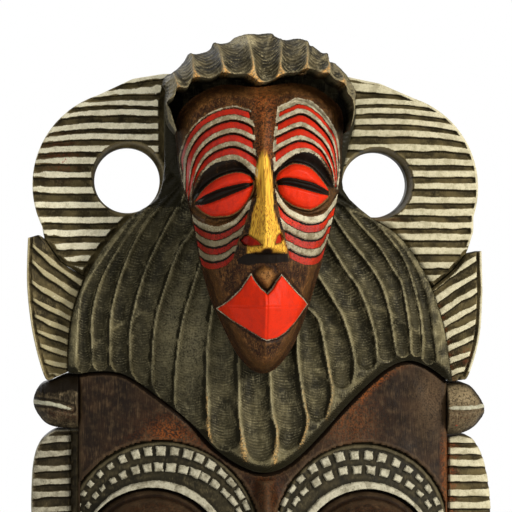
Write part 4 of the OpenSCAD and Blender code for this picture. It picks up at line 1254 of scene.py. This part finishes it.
    depth = depth + 0.12 * waver(x * 1.5, z * 0.6, 2.2, 94) + 0.3 * waver(x, z, 8, 95)
    # The forehead gets a warmer tone, partly painted light where the crown's shadow falls, and a painted
    # highlight along its top edge
    forehead = ease((z - 84) / 8)
    warm = 0.12 * forehead + 0.9 * hump(x + 1.5, 5) * ease((z - 62) / 8) + 0.1 * ease((26 - z) / 6)
    pale = pale + 0.5 * hump(s - 1.8, 1.8) * forehead * hump(x - 6, 22)
    faded = 0.35 * ease((z - 63) / 4) + 0.6 * ease((38 - z) / 3) * ease((z - 14) / 2)
    faded = faded + 0.4 * ease((-x - 6) / 6) * ease((z - 14) / 6)
    dark = np.where(red > 0.15, UNPAINTED, dark)
    silver = np.where((red > 0.2) | (s < 0.2), UNPAINTED, silver)
    return {"depth": np.where(s > -2, depth, SMALL_EDGE), "silver": silver, "red": red, "gold": gold,
            "dark": dark, "warm": np.clip(warm, 0, 1), "pale": np.clip(pale, 0, 1),
            "faded": np.clip(faded, 0, 1), "along": z}


# ---------------------------------------------------------------------------------------------
# Crown

CROWN_TOP = [[-43, 80], [-47.5, 86], [-48.5, 94], [-48, 101.5], [-49.5, 105], [-48.5, 109], [-44.5, 111],
             [-39.5, 116], [-37, 120], [-33.5, 120], [-27, 122], [-25, 125.5], [-22.5, 125], [-17.5, 126],
             [-14, 128.5], [-6.5, 130], [-3, 130], [3, 130.5], [5.5, 128.5], [9.5, 127], [16, 128],
             [20.5, 126.5], [22, 124.5], [24, 124], [28, 121], [30.5, 120.5], [31.5, 116.5], [34, 116],
             [37.5, 112.5], [39, 107.5], [42, 106.5], [44, 102], [43.5, 97], [42, 88], [38, 80]]
CROWN_LOW = [[-43, 80], [-45, 86], [-46.5, 91], [-48, 94.5], [-44.5, 97.5], [-43, 101.5],
             [-38.5, 101.5], [-36, 105.5], [-32.5, 106.5], [-28, 106], [-25, 107], [-22.5, 108.5],
             [-20.5, 108.5], [-16, 108], [-10.5, 108], [-6.5, 105.5], [-4.5, 104], [0, 104.5],
             [4, 106.5], [8.5, 108.5], [13.5, 109], [17.5, 110.5], [21, 110.5], [25.5, 108.5],
             [28.5, 108.5], [31.5, 105.5], [36, 103.5], [37.5, 99.5], [40, 95], [40, 88], [38, 80]]
CROWN_RIDGES = [[(-50.5, 104), (-47, 96)], [(-44.5, 110.5), (-43, 102)], [(-35.5, 118), (-35.5, 105.5)],
                [(-23, 123), (-21, 108.5)], [(-9, 126), (-6, 105)], [(7.5, 126), (4.5, 106.5)],
                [(20.5, 125.5), (17.5, 110.5)], [(31, 118.5), (28.5, 108.5)], [(38, 110), (36.5, 103.5)],
                [(44, 102), (41, 94)]]
CROWN_ENDS = [95, 101, 105, 106.5, 103.8, 107.5, 108.8, 104.5, 97]
CROWN_TOP_DEPTH, CROWN_TIP_DEPTH = 56.0, 88.0
CROWN_RIPPLE = 1.9
crown_top, crown_low = run(CROWN_TOP), run(CROWN_LOW)
crown_outline = crown_top + crown_low[::-1][1:-1]


def crown_shape(x, z, s):
    from_top, from_low = distance(x, z, crown_top), distance(x, z, crown_low)
    v = from_top / (from_top + from_low + 1e-6)
    depth = lerp(CROWN_TOP_DEPTH, CROWN_TIP_DEPTH, np.sin(v * math.pi / 2) ** 0.85)
    cut, across, along, _, bowl = gouged(x, z, CROWN_RIDGES, CROWN_ENDS, 5.5, 0.42, 0.55)
    depth = depth - 1.05 * cut
    ripples = np.sin(along * 2 * math.pi / CROWN_RIPPLE + 2 * waver(x, z, 6, 101))
    depth = depth - 0.14 * ripples * ease(bowl * 2)
    depth = depth - rounded(from_low, 1.0) + 0.2 * waver(x, z, 3, 102)
    tip = ease((0.10 - bowl) / 0.08) * ease((7.5 - from_low) / 2.5)
    strong = (0.6 + 0.6 * hump(x + 6, 9)) * ease((z - 99) / 4)
    ridge = hump(np.abs(across) - 1, 0.05) * ease((16 - from_low) / 12)
    warm = strong * (tip * 1.3 + 0.6 * ridge)
    worn = 1.7 - 0.2 * np.hypot((x + 10), (z - 125.5) * 1.9) + 0.5 * waver(x, z, 1.6, 104)
    pale = np.clip(worn, 0, 1) + 0.5 * ridge + 0.5 * hump(from_low, 0.5) * (np.abs(across) < 0.8)
    return {"depth": depth, "along": along, "warm": np.clip(warm, 0, 1), "pale": np.clip(pale, 0, 1)}


# ---------------------------------------------------------------------------------------------
# The pieces


def hair_floor(x, z):
    return np.full(np.shape(x), HAIR_DEPTH)


def circle_round(circle):
    """A circle 1 mm outside this one, for a piece that its cuts bring to its real outline."""
    centre, radius = circle
    return arc(centre, radius + 1, 0, 360, 48)[:-1]


def plain_back(x, z):
    return 0.35 * adze(x, z, 9, 1.0, 64)


main_face = carve("main_face_carving", face_outline, face_shape, step=0.8, back=face_back, back_step=4.0)
settle(main_face, "main_face", face_wood)

coiffure = carve("coiffure_carving", hair_outline, hair_shape, step=0.6, back=hair_back, back_step=2.5)
settle(coiffure, "coiffure", hair_wood)

small_face = carve("small_face_carving", small_outline, small_shape, step=0.35, floor=hair_floor)
settle(small_face, "small_face", small_wood)

crown = carve("crown_carving", crown_outline, crown_shape, step=0.4, floor=hair_floor)
settle(crown, "crown_cap", crown_wood)

for side in ("left", "right"):
    striped = board_wood_left if side == "left" else board_wood
    loop = carve("ear_loop_carving_" + side, loop_outline[side], loop_shape(side), step=0.45,
                 holes=[(HOLE_MIDDLE[side], HOLE_R)], back=plain_back)
    settle(loop, "ear_loop_" + side, striped)

    fin = carve("leaf_fin_carving_" + side, fin_outline[side], fin_shape(side), step=0.4)
    settle(fin, "leaf_fin_" + side, striped)

    band = carve("side_band_carving_" + side, band_outline[side], band_shape(side), step=0.4)
    settle(band, "side_band_" + side, band_wood_left if side == "left" else board_wood)

    knob = carve("ear_knob_carving_" + side, knob_outline[side], knob_shape(side), step=0.4)
    settle(knob, "ear_knob_" + side, knob_wood)

    arch = carve("brow_arch_carving_" + side, circle_round(ARCHES[side]["outer"]), arch_shape(side),
                 step=0.35, floor=pocket_floor, cuts=[lambda x, z, side=side: arch_band_area(x, z, side)])
    settle(arch, "brow_arch_" + side, arch_wood)

    eye = carve("eye_carving_" + side, circle_round(ARCHES[side]["inner"]), eye_shape(side), step=0.6,
                floor=pocket_floor, cuts=[lambda x, z, side=side: eye_area(x, z, side)])
    settle(eye, "eye_" + side, lid_wood)

steel, pale_dowel = brushed_steel(), turned_wood()
for node, material in (
        ("side_dowels", pale_dowel), ("loop_dowels", pale_dowel), ("face_dowels", pale_dowel),
        ("hairline_dowels", pale_dowel), ("hanger_strap", steel), ("hanger_ring", steel),
        ("hanger_screw", steel)):
    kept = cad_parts[node]
    kept.data.materials.clear()
    kept.data.materials.append(material)

# ---------------------------------------------------------------------------------------------
# Floor, light and camera


AIM = (0.0, 0.0, -0.03)


def lamp(name, place, size, watts, colour=(1.0, 1.0, 1.0)):
    data = bpy.data.lights.new(name, "AREA")
    data.size = size
    data.energy = watts
    data.color = colour
    light = bpy.data.objects.new(name, data)
    light.location = place
    light.rotation_euler = (Vector(AIM) - Vector(place)).to_track_quat("-Z", "Y").to_euler()
    bpy.context.scene.collection.objects.link(light)


FLOOR_HALF, FLOOR_Z = 1.5, -0.304
floor_mesh = bpy.data.meshes.new("floor")
corners = [(FLOOR_HALF * u, FLOOR_HALF * v, FLOOR_Z) for u, v in ((-1, -1), (1, -1), (1, 1), (-1, 1))]
floor_mesh.from_pydata(corners, [], [(0, 1, 2, 3)])
floor = bpy.data.objects.new("floor", floor_mesh)
bpy.context.scene.collection.objects.link(floor)
paper = Finish("floor_paper")
floor_mesh.materials.append(paper.done(rgb(236, 236, 234), 0.9, paper.noise(3.0, 2.0), strength=0.02))

lamp("key", (1.15, -1.05, 0.46), 0.4, 26.0, (1.0, 0.97, 0.92))
lamp("fill", (-0.7, -1.4, 0.4), 1.2, 6.0, (0.98, 0.99, 1.0))
lamp("back", (-0.7, 1.4, 0.6), 1.2, 9.0)
lamp("top", (0.0, 0.2, 1.4), 1.0, 6.0)

# The world is dim as a light and white behind the mask
WORLD_LIGHT = 0.27
world = bpy.data.worlds.new("studio")
bpy.context.scene.world = world
world.use_nodes = True
nodes, links = world.node_tree.nodes, world.node_tree.links
nodes.clear()
seen = nodes.new("ShaderNodeLightPath")
strength = nodes.new("ShaderNodeMapRange")
strength.inputs["To Min"].default_value = WORLD_LIGHT
strength.inputs["To Max"].default_value = 1.0
background = nodes.new("ShaderNodeBackground")
background.inputs["Color"].default_value = (1.0, 1.0, 1.0, 1.0)
sky = nodes.new("ShaderNodeOutputWorld")
links.new(seen.outputs["Is Camera Ray"], strength.inputs["Value"])
links.new(strength.outputs["Result"], background.inputs["Strength"])
links.new(background.outputs[0], sky.inputs["Surface"])

SIGHT_DISTANCE, SIGHT_TURN = 1.18, 3.0
LENS, SENSOR = 165.9, 36.0
sight = Vector((-0.0025, -0.02, 0.022))
turned = math.radians(SIGHT_TURN)
camera_data = bpy.data.cameras.new("camera")
camera_data.sensor_width = SENSOR
camera_data.lens = LENS
camera = bpy.data.objects.new("camera", camera_data)
camera.location = sight + Vector((-math.sin(turned), -math.cos(turned), 0.0)) * SIGHT_DISTANCE
camera.rotation_euler = (sight - camera.location).to_track_quat("-Z", "Y").to_euler()
bpy.context.scene.collection.objects.link(camera)
bpy.context.scene.camera = camera
bpy.context.scene.view_settings.view_transform = "Standard"
